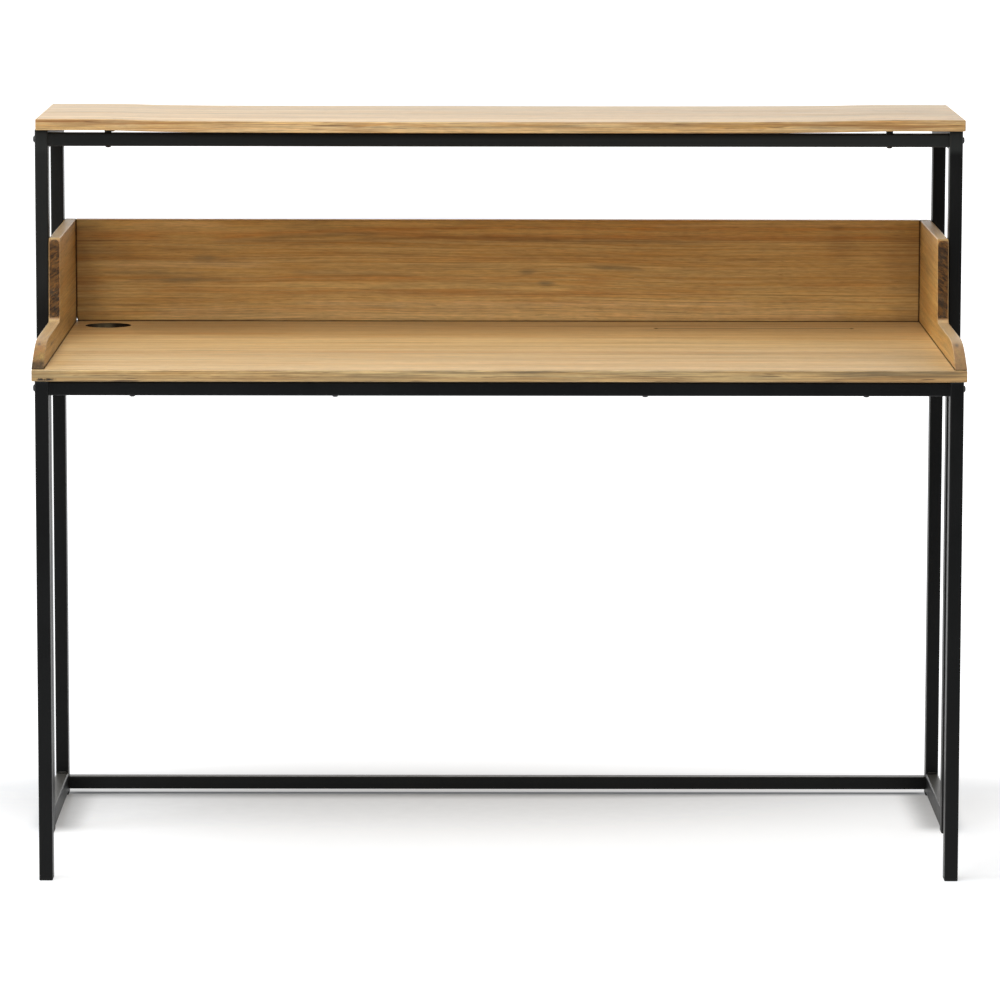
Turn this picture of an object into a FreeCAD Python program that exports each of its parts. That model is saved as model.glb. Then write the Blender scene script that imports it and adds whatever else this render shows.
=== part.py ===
import FreeCAD, Part
import os
import math
import Sketcher
from FreeCAD import Vector, Rotation, Placement

# Writing desk with a raised full-width shelf.
# Two full-height side frames of 20 x 30 mm steel tube stand at the back half
# of the desk and carry the shelf. A desk frame with two front legs is bolted
# between them and carries the desktop, its two shaped cheeks and its back
# panel. Frame: X to the right, Y towards the back, Z up, origin on the floor
# under the middle of the footprint. All sizes in millimetres.

doc = FreeCAD.newDocument("desk_with_shelf")

# ---------------------------------------------------------------- sizes
sheet = doc.addObject("Spreadsheet::Sheet", "Sizes")
SIZES = [
    # overall
    ("frame_width", 1400.0),          # over the outer faces of the posts
    ("desk_depth", 700.0),            # front edge of the desktop to the back
    ("desk_top_height", 755.0),       # writing surface above the floor
    ("shelf_top_height", 1095.0),     # top of the raised shelf
    # boards
    ("board_thick", 17.0),
    ("board_ease", 1.5),              # rounding of every board edge
    ("desktop_width", 1359.0),
    ("shelf_width", 1401.0),
    ("shelf_shift", 2.5),             # the shelf sits a little to the right
    ("shelf_depth", 350.0),
    ("panel_width", 1324.4),
    ("panel_high", 160.0),
    ("panel_shift", 0.0),             # the panel stands in the middle
    ("cheek_low", 35.0),              # low front part of the cheek
    ("cheek_front_set", 3.0),
    ("cheek_nose_long", 117.0),       # curved nose, front to flat top
    ("cheek_riser_foot", 342.0),      # riser, measured from the front edge
    ("cheek_riser_head", 353.0),
    ("cable_hole_radius", 35.0),
    ("cable_hole_x", -608.0),
    ("cable_hole_y", 618.0),          # from the front edge
    # tubes
    ("post_wide", 20.0),
    ("post_deep", 30.0),
    ("rail_side", 20.0),
    ("tube_wall", 1.5),
    ("tube_round", 2.5),
    ("frame_front", 360.0),           # middle posts, from the front edge
    ("foot_high", 5.0),
    ("foot_stub", 8.0),               # kept below the crossbar bolt
    ("cap_high", 2.0),
    ("cap_stub", 5.0),                # kept clear of the bolts near the ends
    ("leg_outer", 675.0),            # outer face of a front leg from centre
    ("shelf_rail_drop", 5.0),         # air between front shelf rail and shelf
    ("rear_shelf_rail_drop", 3.0),    # the rear shelf rail sits a little higher
    ("desk_rail_drop", 1.0),
    ("crossbar_low", 9.0),
    ("rear_rail_set", 655.0),         # rear desk rail, from the front edge
    ("insert_flange", 2.0),
    ("insert_long", 15.0),
    ("fit_gap", 0.2),
    # fasteners
    ("bolt_radius", 3.0),
    ("bolt_long", 40.0),
    ("bolt_head_radius", 5.25),
    ("bolt_head_high", 3.3),
    ("bolt_hole", 3.2),
    ("screw_radius", 2.0),
    ("screw_head_radius", 4.3),
    ("screw_head_high", 2.4),
    ("spacer_radius", 5.25),
    ("side_spacer_radius", 6.0),
    ("shelf_screw_front", 590.0),
    ("shelf_screw_rear_left", 604.0),
    ("shelf_screw_rear_right", 612.0),
    ("desk_screw_outer", 534.0),
    ("desk_screw_left", 239.0),
    ("desk_screw_right", 212.0),
]
for i, (name, value) in enumerate(SIZES, start=1):
    sheet.set("A%d" % i, name)
    sheet.set("B%d" % i, repr(value))
    sheet.setAlias("B%d" % i, name)
doc.recompute()


def size(name):
    return float(getattr(sheet, name))


S = {name: size(name) for name, _ in SIZES}
HALF_D = S["desk_depth"] / 2.0


def yy(from_front):
    """A distance from the desk's front edge, as a Y coordinate."""
    return from_front - HALF_D


# ---------------------------------------------------------------- helpers
def new_body(label):
    body = doc.addObject("PartDesign::Body", label)
    body.Label = label
    return body


def plane(body, role):
    for feature in body.Origin.OriginFeatures:
        if feature.Role == role:
            return feature
    raise RuntimeError("no origin plane " + role)


def new_sketch(body, name, role):
    sketch = body.newObject("Sketcher::SketchObject", name)
    sketch.AttachmentSupport = (plane(body, role), [""])
    sketch.MapMode = "FlatFace"
    return sketch


def centred_rectangle(sketch, wide, tall):
    """A rectangle about the sketch's origin; wide and tall are expressions."""
    a, b, c, d = (
        Vector(-10, -10, 0),
        Vector(10, -10, 0),
        Vector(10, 10, 0),
        Vector(-10, 10, 0),
    )
    first = sketch.GeometryCount
    for p, q in ((a, b), (b, c), (c, d), (d, a)):
        sketch.addGeometry(Part.LineSegment(p, q), False)
    n = first
    for i in range(4):
        sketch.addConstraint(
            Sketcher.Constraint("Coincident", n + i, 2, n + (i + 1) % 4, 1)
        )
    sketch.addConstraint(Sketcher.Constraint("Horizontal", n))
    sketch.addConstraint(Sketcher.Constraint("Horizontal", n + 2))
    sketch.addConstraint(Sketcher.Constraint("Vertical", n + 1))
    sketch.addConstraint(Sketcher.Constraint("Vertical", n + 3))
    sketch.addConstraint(Sketcher.Constraint("Symmetric", n, 1, n + 2, 1, -1, 1))
    k = sketch.addConstraint(Sketcher.Constraint("DistanceX", n, 1, n, 2, 20.0))
    sketch.renameConstraint(k, "wide_%d" % n)
    sketch.setExpression("Constraints.wide_%d" % n, wide)
    k = sketch.addConstraint(Sketcher.Constraint("DistanceY", n + 1, 1, n + 1, 2, 20.0))
    sketch.renameConstraint(k, "tall_%d" % n)
    sketch.setExpression("Constraints.tall_%d" % n, tall)


def circle_at(sketch, x, y, radius):
    """A circle; x, y and radius are expressions."""
    n = sketch.addGeometry(
        Part.Circle(Vector(7, 5, 0), Vector(0, 0, 1), 2.0), False
    )
    for kind, text, label in (("DistanceX", x, "cx"), ("DistanceY", y, "cy")):
        k = sketch.addConstraint(Sketcher.Constraint(kind, -1, 1, n, 3, 5.0))
        sketch.renameConstraint(k, "%s_%d" % (label, n))
        sketch.setExpression("Constraints.%s_%d" % (label, n), text)
    k = sketch.addConstraint(Sketcher.Constraint("Radius", n, 2.0))
    sketch.renameConstraint(k, "r_%d" % n)
    sketch.setExpression("Constraints.r_%d" % n, radius)


def pad(body, sketch, length, name, middle=False):
    feature = body.newObject("PartDesign::Pad", name)
    feature.Profile = sketch
    feature.setExpression("Length", length)
    if middle:
        feature.Midplane = True
    return feature


def pocket_through(body, sketch, name):
    feature = body.newObject("PartDesign::Pocket", name)
    feature.Profile = sketch
    feature.Type = "ThroughAll"
    feature.Midplane = True
    return feature


def pocket_depth(body, sketch, depth, name, reverse=False):
    feature = body.newObject("PartDesign::Pocket", name)
    feature.Profile = sketch
    feature.Type = "Length"
    feature.setExpression("Length", depth)
    feature.Reversed = reverse
    return feature


def round_edges(body, base, radius, pick, name):
    """Fillets the edges of base that pick(edge) chooses."""
    doc.recompute()
    names = [
        "Edge%d" % (i + 1) for i, e in enumerate(base.Shape.Edges) if pick(e)
    ]
    feature = body.newObject("PartDesign::Fillet", name)
    feature.Base = (base, names)
    feature.setExpression("Radius", radius)
    return feature


def along_z(edge):
    if edge.Curve.TypeId != "Part::GeomLine":
        return False
    d = edge.Curve.Direction
    return abs(d.z) > 0.999


def tube(label, wide, deep, length, placement, holes=()):
    """A rectangular tube along its own Z, with its section centred.
    holes: (axis, u, z, radius, side) where axis is the drilling direction,
    "x" or "y"; u is the place across, z the place along; side is "both",
    "plus" or "minus" for the wall that is drilled."""
    body = new_body(label)
    outline = new_sketch(body, label + "_section", "XY_Plane")
    centred_rectangle(outline, wide, deep)
    solid = pad(body, outline, length, label + "_pad")
    rounded = round_edges(body, solid, "Sizes.tube_round", along_z, label + "_round")
    inner = new_sketch(body, label + "_bore", "XY_Plane")
    centred_rectangle(
        inner,
        "%s - 2 * Sizes.tube_wall" % wide,
        "%s - 2 * Sizes.tube_wall" % deep,
    )
    cut = pocket_through(body, inner, label + "_hollow")
    doc.recompute()
    for i, (axis, u, z, radius, side) in enumerate(holes):
        # on YZ_Plane the sketch's axes are Y and Z; on XZ_Plane, X and Z
        role = "YZ_Plane" if axis == "x" else "XZ_Plane"
        drill = new_sketch(body, "%s_drill%d" % (label, i), role)
        circle_at(drill, u, z, radius)
        before = body.Shape.Volume if body.Shape and not body.Shape.isNull() else 0
        name = "%s_hole%d" % (label, i)
        if side == "both":
            feature = pocket_through(body, drill, name)
            doc.recompute()
        else:
            want = 1.0 if side == "plus" else -1.0
            feature = pocket_depth(body, drill, "Sizes.post_deep", name)
            doc.recompute()
            # the pocket leaves the sketch along its normal's opposite unless
            # reversed; the wall that was cut is found from the solid
            height = float(drill.getDatum("cy_0"))
            if cut_side(body, axis, height) * want < 0:
                feature.Reversed = not feature.Reversed
                doc.recompute()
        after = body.Shape.Volume
        if not after < before - 1.0:
            raise RuntimeError(name + " cut nothing")
    body.Placement = placement
    return body


def cut_side(body, axis, height):
    """+1 if the plus wall was drilled at that height, -1 if the minus wall."""
    box = body.Shape.BoundBox
    best = {}
    for sign in (1, -1):
        if axis == "x":
            edge = box.XMax if sign > 0 else box.XMin
            p = Vector(edge - sign * 0.75, 0, height)
        else:
            edge = box.YMax if sign > 0 else box.YMin
            p = Vector(0, edge - sign * 0.75, height)
        best[sign] = body.Shape.isInside(p, 0.01, True)
    if best[1] and not best[-1]:
        return -1
    if best[-1] and not best[1]:
        return 1
    return 0


def vertical(x, y, z):
    return Placement(Vector(x, y, z), Rotation())


def along_x(x, y, z):
    """Local Z points along +X; local X points down."""
    return Placement(Vector(x, y, z), Rotation(Vector(0, 1, 0), 90))


def along_y(x, y, z):
    """Local Z points along +Y; local Y points down."""
    return Placement(Vector(x, y, z), Rotation(Vector(1, 0, 0), -90))


# ---------------------------------------------------------------- levels
foot = S["foot_high"]
half_w = S["frame_width"] / 2.0
post_x = half_w - S["post_wide"] / 2.0
shelf_under = S["shelf_top_height"] - S["board_thick"]
desk_under = S["desk_top_height"] - S["board_thick"]
mid_y = yy(S["frame_front"] + S["post_deep"] / 2.0)
rear_y = yy(S["desk_depth"] - S["post_deep"] / 2.0)
shelf_rail_z = shelf_under - S["shelf_rail_drop"] - S["rail_side"] / 2.0
rear_shelf_z = shelf_under - S["rear_shelf_rail_drop"] - S["rail_side"] / 2.0
desk_side_z = desk_under - S["rail_side"] / 2.0
desk_rail_z = desk_under - S["desk_rail_drop"] - S["rail_side"] / 2.0
crossbar_z = S["crossbar_low"] + S["rail_side"] / 2.0
leg_x = S["leg_outer"] - S["post_wide"] / 2.0
rear_rail_y = yy(S["rear_rail_set"] + S["rail_side"] / 2.0)
front_rail_y = yy(S["post_deep"] / 2.0)

# Heights along a post, from the tube's lower end
Z_SHELF_BOLT = (
    "Sizes.shelf_top_height - Sizes.board_thick - Sizes.shelf_rail_drop"
    " - Sizes.rail_side / 2 - Sizes.foot_high"
)
Z_REAR_SHELF_BOLT = (
    "Sizes.shelf_top_height - Sizes.board_thick - Sizes.rear_shelf_rail_drop"
    " - Sizes.rail_side / 2 - Sizes.foot_high"
)
Z_DESK_BOLT = (
    "Sizes.desk_top_height - Sizes.board_thick - Sizes.rail_side / 2"
    " - Sizes.foot_high"
)
Z_CROSSBAR_BOLT = "Sizes.crossbar_low + Sizes.rail_side / 2 - Sizes.foot_high"
Z_LEG_BOLT = (
    "Sizes.desk_top_height - Sizes.board_thick - Sizes.desk_rail_drop"
    " - Sizes.rail_side / 2 - Sizes.foot_high"
)

# ---------------------------------------------------------------- side frames
POST_LENGTH = (
    "Sizes.shelf_top_height - Sizes.board_thick - Sizes.cap_high - Sizes.foot_high"
)
for side, sign in (("left", -1), ("right", 1)):
    tube(
        side + "_middle_post",
        "Sizes.post_wide",
        "Sizes.post_deep",
        POST_LENGTH,
        vertical(sign * post_x, mid_y, foot),
        holes=[
            ("x", "0", Z_SHELF_BOLT, "Sizes.bolt_hole", "both"),
            ("x", "0", Z_DESK_BOLT, "Sizes.bolt_hole", "both"),
        ],
    )
    tube(
        side + "_rear_post",
        "Sizes.post_wide",
        "Sizes.post_deep",
        POST_LENGTH,
        vertical(sign * post_x, rear_y, foot),
        holes=[
            ("x", "0", Z_REAR_SHELF_BOLT, "Sizes.bolt_hole", "both"),
            ("x", "0", Z_DESK_BOLT, "Sizes.bolt_hole", "both"),
            ("x", "0", Z_CROSSBAR_BOLT, "Sizes.bolt_hole", "both"),
        ],
    )
    # The two short bars of each side frame butt against the posts, 30 mm high
    bar_length = "Sizes.desk_depth - Sizes.frame_front - 2 * Sizes.post_deep"
    y0 = yy(S["frame_front"] + S["post_deep"])
    tube(
        side + "_top_side_rail",
        "Sizes.post_wide",
        "Sizes.post_deep",
        bar_length,
        along_y(sign * post_x, y0, shelf_under - S["post_deep"] / 2.0),
    )
    tube(
        side + "_bottom_side_bar",
        "Sizes.post_wide",
        "Sizes.post_deep",
        bar_length,
        along_y(sign * post_x, y0, foot + S["post_deep"] / 2.0),
    )

# ---------------------------------------------------------------- cross rails
LONG_RAIL = "Sizes.frame_width - 2 * Sizes.post_wide - 2 * Sizes.insert_flange"
SHORT_RAIL = "2 * Sizes.leg_outer - 2 * Sizes.post_wide - 2 * Sizes.insert_flange"
x_long = -(half_w - S["post_wide"] - S["insert_flange"])
x_short = -(S["leg_outer"] - S["post_wide"] - S["insert_flange"])
MID_LONG = "(Sizes.frame_width / 2 - Sizes.post_wide - Sizes.insert_flange)"
MID_SHORT = "(Sizes.leg_outer - Sizes.post_wide - Sizes.insert_flange)"

tube(
    "front_shelf_rail",
    "Sizes.rail_side",
    "Sizes.rail_side",
    LONG_RAIL,
    along_x(x_long, mid_y, shelf_rail_z),
    holes=[
        ("x", "0", MID_LONG + " - Sizes.shelf_screw_front", "Sizes.screw_radius", "both"),
        ("x", "0", MID_LONG + " + Sizes.shelf_screw_front", "Sizes.screw_radius", "both"),
    ],
)
tube(
    "rear_shelf_rail",
    "Sizes.rail_side",
    "Sizes.rail_side",
    LONG_RAIL,
    along_x(x_long, rear_y, rear_shelf_z),
    holes=[
        ("x", "0", MID_LONG + " - Sizes.shelf_screw_rear_left", "Sizes.screw_radius", "both"),
        ("x", "0", MID_LONG + " + Sizes.shelf_screw_rear_right", "Sizes.screw_radius", "both"),
    ],
)
tube(
    "rear_bottom_crossbar",
    "Sizes.rail_side",
    "Sizes.rail_side",
    LONG_RAIL,
    along_x(x_long, rear_y, crossbar_z),
)
desk_screws_at = [
    " - Sizes.desk_screw_outer",
    " - Sizes.desk_screw_left",
    " + Sizes.desk_screw_right",
    " + Sizes.desk_screw_outer",
]
for label, y, z in (
    ("front_desk_rail", front_rail_y, desk_rail_z),
    ("rear_desk_rail", rear_rail_y, desk_side_z),
):
    tube(
        label,
        "Sizes.rail_side",
        "Sizes.rail_side",
        SHORT_RAIL,
        along_x(x_short, y, z),
        holes=[
            ("x", "0", MID_SHORT + t, "Sizes.screw_radius", "both")
            for t in desk_screws_at
        ],
    )

# ---------------------------------------------------------------- desk frame
LEG_LENGTH = (
    "Sizes.desk_top_height - Sizes.board_thick - Sizes.cap_high - Sizes.foot_high"
)
for side, sign in (("left", -1), ("right", 1)):
    tube(
        side + "_front_leg",
        "Sizes.post_wide",
        "Sizes.post_deep",
        LEG_LENGTH,
        vertical(sign * leg_x, front_rail_y, foot),
        holes=[("x", "0", Z_LEG_BOLT, "Sizes.bolt_hole", "both")],
    )
    outer = "plus" if sign > 0 else "minus"
    start = "Sizes.post_deep"
    tube(
        side + "_desk_side_rail",
        "Sizes.rail_side",
        "Sizes.rail_side",
        "Sizes.desk_depth - Sizes.post_deep - Sizes.cap_high",
        along_y(sign * leg_x, yy(S["post_deep"]), desk_side_z),
        holes=[
            ("x", "0", "Sizes.frame_front + Sizes.post_deep / 2 - " + start, "4.5", outer),
            ("x", "0", "Sizes.desk_depth - Sizes.post_deep / 2 - " + start, "4.5", outer),
            (
                "x",
                "0",
                "Sizes.rear_rail_set + Sizes.rail_side / 2 - " + start,
                "Sizes.bolt_hole",
                "both",
            ),
        ],
    )


# ---------------------------------------------------------------- boards
def board(label, wide, deep, placement, cutters=(), ease=True):
    """A flat board: its section centred on X and Y, its thickness up +Z."""
    body = new_body(label)
    outline = new_sketch(body, label + "_outline", "XY_Plane")
    centred_rectangle(outline, wide, deep)
    solid = pad(body, outline, "Sizes.board_thick", label + "_pad")
    if ease:
        solid = round_edges(
            body, solid, "Sizes.board_ease", lambda e: True, label + "_ease"
        )
    doc.recompute()
    for i, (places, radius, depth) in enumerate(cutters):
        sketch = new_sketch(body, "%s_cut%d" % (label, i), "XY_Plane")
        for x, y in places:
            circle_at(sketch, x, y, radius)
        before = body.Shape.Volume
        if depth == "through":
            feature = pocket_through(body, sketch, "%s_pocket%d" % (label, i))
        else:
            feature = pocket_depth(
                body, sketch, depth, "%s_pocket%d" % (label, i), reverse=True
            )
        doc.recompute()
        if not body.Shape.Volume < before - 1.0:
            raise RuntimeError("%s: cut %d removed nothing" % (label, i))
    body.Placement = placement
    return body


# Screws come up into the shelf from its two rails
shelf_y = yy(S["desk_depth"] - S["shelf_depth"] / 2.0)
to_front = "Sizes.frame_front + Sizes.post_deep / 2 - (Sizes.desk_depth - Sizes.shelf_depth / 2)"
to_rear = "Sizes.shelf_depth / 2 - Sizes.post_deep / 2"
board(
    "shelf_board",
    "Sizes.shelf_width",
    "Sizes.shelf_depth",
    Placement(Vector(S["shelf_shift"], shelf_y, shelf_under), Rotation()),
    cutters=[
        (
            [
                ("-Sizes.shelf_screw_front - Sizes.shelf_shift", to_front),
                ("Sizes.shelf_screw_front - Sizes.shelf_shift", to_front),
                ("-Sizes.shelf_screw_rear_left - Sizes.shelf_shift", to_rear),
                ("Sizes.shelf_screw_rear_right - Sizes.shelf_shift", to_rear),
            ],
            "Sizes.screw_radius",
            "11",
        )
    ],
)

CHEEK_X = "(Sizes.desktop_width / 2 - Sizes.board_thick / 2)"
cheek_x = S["desktop_width"] / 2.0 - S["board_thick"] / 2.0
CHEEK_SCREWS = (92.0, 350.0, 620.0)          # from the front edge
PANEL_SCREWS = (-500.0, -250.0, 0.0, 250.0, 500.0)
panel_screw_from_front = S["desk_depth"] - S["board_thick"] / 2.0
front_to_mid = "Sizes.post_deep / 2 - Sizes.desk_depth / 2"
rear_to_mid = "Sizes.rear_rail_set + Sizes.rail_side / 2 - Sizes.desk_depth / 2"
desk_places = []
for line in (front_to_mid, rear_to_mid):
    for x in (
        "-Sizes.desk_screw_outer",
        "-Sizes.desk_screw_left",
        "Sizes.desk_screw_right",
        "Sizes.desk_screw_outer",
    ):
        desk_places.append((x, line))
edge_places = []
for f in CHEEK_SCREWS:
    edge_places.append(("-" + CHEEK_X, "%g - Sizes.desk_depth / 2" % f))
    edge_places.append((CHEEK_X, "%g - Sizes.desk_depth / 2" % f))
for x in PANEL_SCREWS:
    edge_places.append(("%g" % x, "Sizes.desk_depth / 2 - Sizes.board_thick / 2"))
board(
    "desktop_board",
    "Sizes.desktop_width",
    "Sizes.desk_depth",
    Placement(Vector(0, 0, desk_under), Rotation()),
    cutters=[
        (
            [("Sizes.cable_hole_x", "Sizes.cable_hole_y - Sizes.desk_depth / 2")],
            "Sizes.cable_hole_radius",
            "through",
        ),
        (desk_places, "Sizes.screw_radius", "11"),
        (edge_places, "Sizes.screw_radius", "through"),
        (edge_places, "4.1", "2.6"),
    ],
)

# Back panel: stands on the desktop between the cheeks, flush with the back
panel = new_body("back_panel")
panel_sketch = new_sketch(panel, "back_panel_outline", "XY_Plane")
centred_rectangle(panel_sketch, "Sizes.panel_width", "Sizes.board_thick")
panel_pad = pad(panel, panel_sketch, "Sizes.panel_high", "back_panel_pad")
panel_ease = round_edges(
    panel, panel_pad, "Sizes.board_ease", lambda e: True, "back_panel_ease"
)
panel_holes = new_sketch(panel, "back_panel_pilots", "XY_Plane")
for x in PANEL_SCREWS:
    circle_at(panel_holes, "%g - Sizes.panel_shift" % x, "0", "Sizes.screw_radius")
doc.recompute()
before = panel.Shape.Volume
pocket_depth(panel, panel_holes, "18", "back_panel_pilot_holes", reverse=True)
doc.recompute()
if not panel.Shape.Volume < before - 1.0:
    raise RuntimeError("back panel pilot holes cut nothing")
panel.Placement = Placement(
    Vector(
        S["panel_shift"],
        yy(S["desk_depth"] - S["board_thick"] / 2.0),
        S["desk_top_height"],
    ),
    Rotation(),
)


# Cheeks: a low part with a curved nose in front, a riser near the middle
# post, and a full-height part at the back
def cheek(label, sign):
    body = new_body(label)
    sk = new_sketch(body, label + "_outline", "YZ_Plane")
    front = S["cheek_front_set"]
    low = S["cheek_low"]
    nose = S["cheek_nose_long"]
    foot_at = S["cheek_riser_foot"]
    head_at = S["cheek_riser_head"]
    high = S["panel_high"]
    back = S["desk_depth"]
    # nose: a circle through the front corner, level where it meets the top
    radius = (nose * nose + low * low) / (2.0 * low)
    centre = Vector(front + nose, low - radius, 0)
    p_front = Vector(front, 0, 0)
    p_top = Vector(front + nose, low, 0)
    angle = math.atan2(p_front.y - centre.y, p_front.x - centre.x)
    middle_angle = (angle + math.pi / 2.0) / 2.0
    p_mid = centre + Vector(
        radius * math.cos(middle_angle), radius * math.sin(middle_angle), 0
    )
    lean = Vector(head_at - foot_at, high - low, 0).normalize()
    # hollow corner at the riser's foot
    r1 = 14.0
    turn = math.acos(max(-1.0, min(1.0, lean.x)))     # angle from +Y to riser
    t1 = r1 * math.tan(turn / 2.0)
    a1 = Vector(foot_at - t1, low, 0)
    b1 = Vector(foot_at, low, 0) + lean * t1
    c1 = Vector(a1.x, low + r1, 0)
    m1a = math.atan2(a1.y - c1.y, a1.x - c1.x)
    m1b = math.atan2(b1.y - c1.y, b1.x - c1.x)
    mm = (m1a + m1b) / 2.0
    m1 = c1 + Vector(r1 * math.cos(mm), r1 * math.sin(mm), 0)
    # rounded corner at the riser's head
    r2 = 9.0
    t2 = r2 * math.tan(turn / 2.0)
    a2 = Vector(head_at, high, 0) - lean * t2
    b2 = Vector(head_at + t2, high, 0)
    c2 = Vector(b2.x, high - r2, 0)
    m2a = math.atan2(a2.y - c2.y, a2.x - c2.x)
    if m2a < 0:
        m2a += 2.0 * math.pi
    m2b = math.pi / 2.0
    mm = (m2a + m2b) / 2.0
    m2 = c2 + Vector(r2 * math.cos(mm), r2 * math.sin(mm), 0)
    p_back_top = Vector(back, high, 0)
    p_back_low = Vector(back, 0, 0)
    geometry = [
        Part.LineSegment(p_back_low, p_front),
        Part.Arc(p_front, p_mid, p_top),
        Part.LineSegment(p_top, a1),
        Part.Arc(a1, m1, b1),
        Part.LineSegment(b1, a2),
        Part.Arc(a2, m2, b2),
        Part.LineSegment(b2, p_back_top),
        Part.LineSegment(p_back_top, p_back_low),
    ]
    for g in geometry:
        sk.addGeometry(g, False)
    sk.addConstraint(Sketcher.Constraint("Horizontal", 0))
    sk.addConstraint(Sketcher.Constraint("Horizontal", 2))
    sk.addConstraint(Sketcher.Constraint("Horizontal", 6))
    sk.addConstraint(Sketcher.Constraint("Vertical", 7))
    sk.addConstraint(Sketcher.Constraint("Coincident", 7, 2, 0, 1))
    sk.addConstraint(Sketcher.Constraint("Coincident", 6, 2, 7, 1))
    k = sk.addConstraint(Sketcher.Constraint("DistanceX", -1, 1, 0, 1, back))
    sk.renameConstraint(k, "back")
    sk.setExpression("Constraints.back", "Sizes.desk_depth")
    k = sk.addConstraint(Sketcher.Constraint("DistanceY", -1, 1, 0, 1, 0.0))
    k = sk.addConstraint(Sketcher.Constraint("DistanceY", 7, 2, 7, 1, high))
    sk.renameConstraint(k, "high")
    sk.setExpression("Constraints.high", "Sizes.panel_high")
    solid = pad(body, sk, "Sizes.board_thick", label + "_pad", middle=True)
    doc.recompute()
    if solid.Shape.isNull() or not solid.Shape.isValid():
        raise RuntimeError(label + " outline failed")

    pilots = new_sketch(body, label + "_pilots", "XY_Plane")
    for f in CHEEK_SCREWS:
        circle_at(pilots, "0", "%g" % f, "Sizes.screw_radius")
    doc.recompute()
    before = body.Shape.Volume
    pocket_depth(body, pilots, "18", label + "_pilot_holes", reverse=True)
    doc.recompute()
    if not body.Shape.Volume < before - 1.0:
        raise RuntimeError(label + " pilot holes cut nothing")
    body.Placement = Placement(
        Vector(sign * cheek_x, yy(0.0), S["desk_top_height"]), Rotation()
    )
    return body


cheek("left_cheek", -1)
cheek("right_cheek", 1)


# ---------------------------------------------------------------- plastic plugs
def plug(label, wide, deep, flange, stub, placement, soft_edge):
    """A push-in end plug: a flange as large as the tube and a stub inside it.
    The flange lies below Z = 0 and the stub above."""
    body = new_body(label)
    plate = new_sketch(body, label + "_flange_outline", "XY_Plane")
    centred_rectangle(plate, wide, deep)
    flange_pad = pad(body, plate, flange, label + "_flange")
    flange_pad.Reversed = True
    last = round_edges(
        body, flange_pad, "Sizes.tube_round", along_z, label + "_corners"
    )
    doc.recompute()
    low = last.Shape.BoundBox.ZMin

    def lower(e):
        return all(abs(v.Z - low) < 0.01 for v in e.Vertexes)

    last = round_edges(body, last, soft_edge, lower, label + "_soft_edge")
    inner = new_sketch(body, label + "_stub_outline", "XY_Plane")
    centred_rectangle(
        inner,
        "%s - 2 * Sizes.tube_wall - 2 * Sizes.fit_gap" % wide,
        "%s - 2 * Sizes.tube_wall - 2 * Sizes.fit_gap" % deep,
    )
    pad(body, inner, stub, label + "_stub")
    doc.recompute()
    body.Placement = placement
    return body


for side, sign in (("left", -1), ("right", 1)):
    for place, x, y in (
        ("front", leg_x, front_rail_y),
        ("middle", post_x, mid_y),
        ("rear", post_x, rear_y),
    ):
        plug(
            "%s_%s_foot" % (side, place),
            "Sizes.post_wide",
            "Sizes.post_deep",
            "Sizes.foot_high",
            "Sizes.foot_stub",
            Placement(Vector(sign * x, y, foot), Rotation()),
            "1.5",
        )
    plug(
        "%s_side_rail_plug" % side,
        "Sizes.rail_side",
        "Sizes.rail_side",
        "Sizes.cap_high",
        "Sizes.cap_stub",
        Placement(
            Vector(sign * leg_x, yy(S["desk_depth"] - S["cap_high"]), desk_side_z),
            Rotation(Vector(1, 0, 0), 90),
        ),
        "0.8",
    )


# ---------------------------------------------------------------- small parts
# Groups of identical small parts are one node each, as separate solids.
def group(label, solids):
    for s in solids:
        if s.isNull() or not s.isValid():
            raise RuntimeError(label + " holds an invalid solid")
    feature = doc.addObject("Part::Feature", label)
    feature.Label = label
    feature.Shape = Part.makeCompound(solids)
    feature.Placement = Placement()
    return feature


def bolt(tip_from_head, at, outward):
    """Button-head socket bolt. at is the middle of the face under its head;
    outward is the unit vector its head looks along."""
    r, head_r, head_h = S["bolt_radius"], S["bolt_head_radius"], S["bolt_head_high"]
    # head profile: a dome on a short rim
    p = [
        Vector(0, 0, 0),
        Vector(head_r, 0, 0),
        Vector(head_r, 0, 0.9),
    ]
    dome_mid = Vector(head_r * 0.80, 0, head_h * 0.78)
    top = Vector(head_r * 0.42, 0, head_h)
    wire = Part.Wire(
        [
            Part.makeLine(p[0], p[1]),
            Part.makeLine(p[1], p[2]),
            Part.Arc(p[2], dome_mid, top).toShape(),
            Part.makeLine(top, Vector(0, 0, head_h)),
            Part.makeLine(Vector(0, 0, head_h), p[0]),
        ]
    )
    head = Part.Face(wire).revolve(Vector(0, 0, 0), Vector(0, 0, 1), 360)
    # hexagon socket, 4 mm across its flats
    flat = 2.0 / math.cos(math.radians(30))
    corners = [
        Vector(
            flat * math.cos(math.radians(60 * i)),
            flat * math.sin(math.radians(60 * i)),
            head_h + 0.5,
        )
        for i in range(6)
    ]
    socket = Part.Face(Part.makePolygon(corners + [corners[0]])).extrude(
        Vector(0, 0, -2.6)
    )
    shank = Part.makeCylinder(r, tip_from_head, Vector(0, 0, 0), Vector(0, 0, -1))
    solid = head.fuse(shank).removeSplitter().cut(socket)
    solid = solid.Solids[0]
    solid.Placement = Placement(at, Rotation(Vector(0, 0, 1), outward))
    return solid


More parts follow.
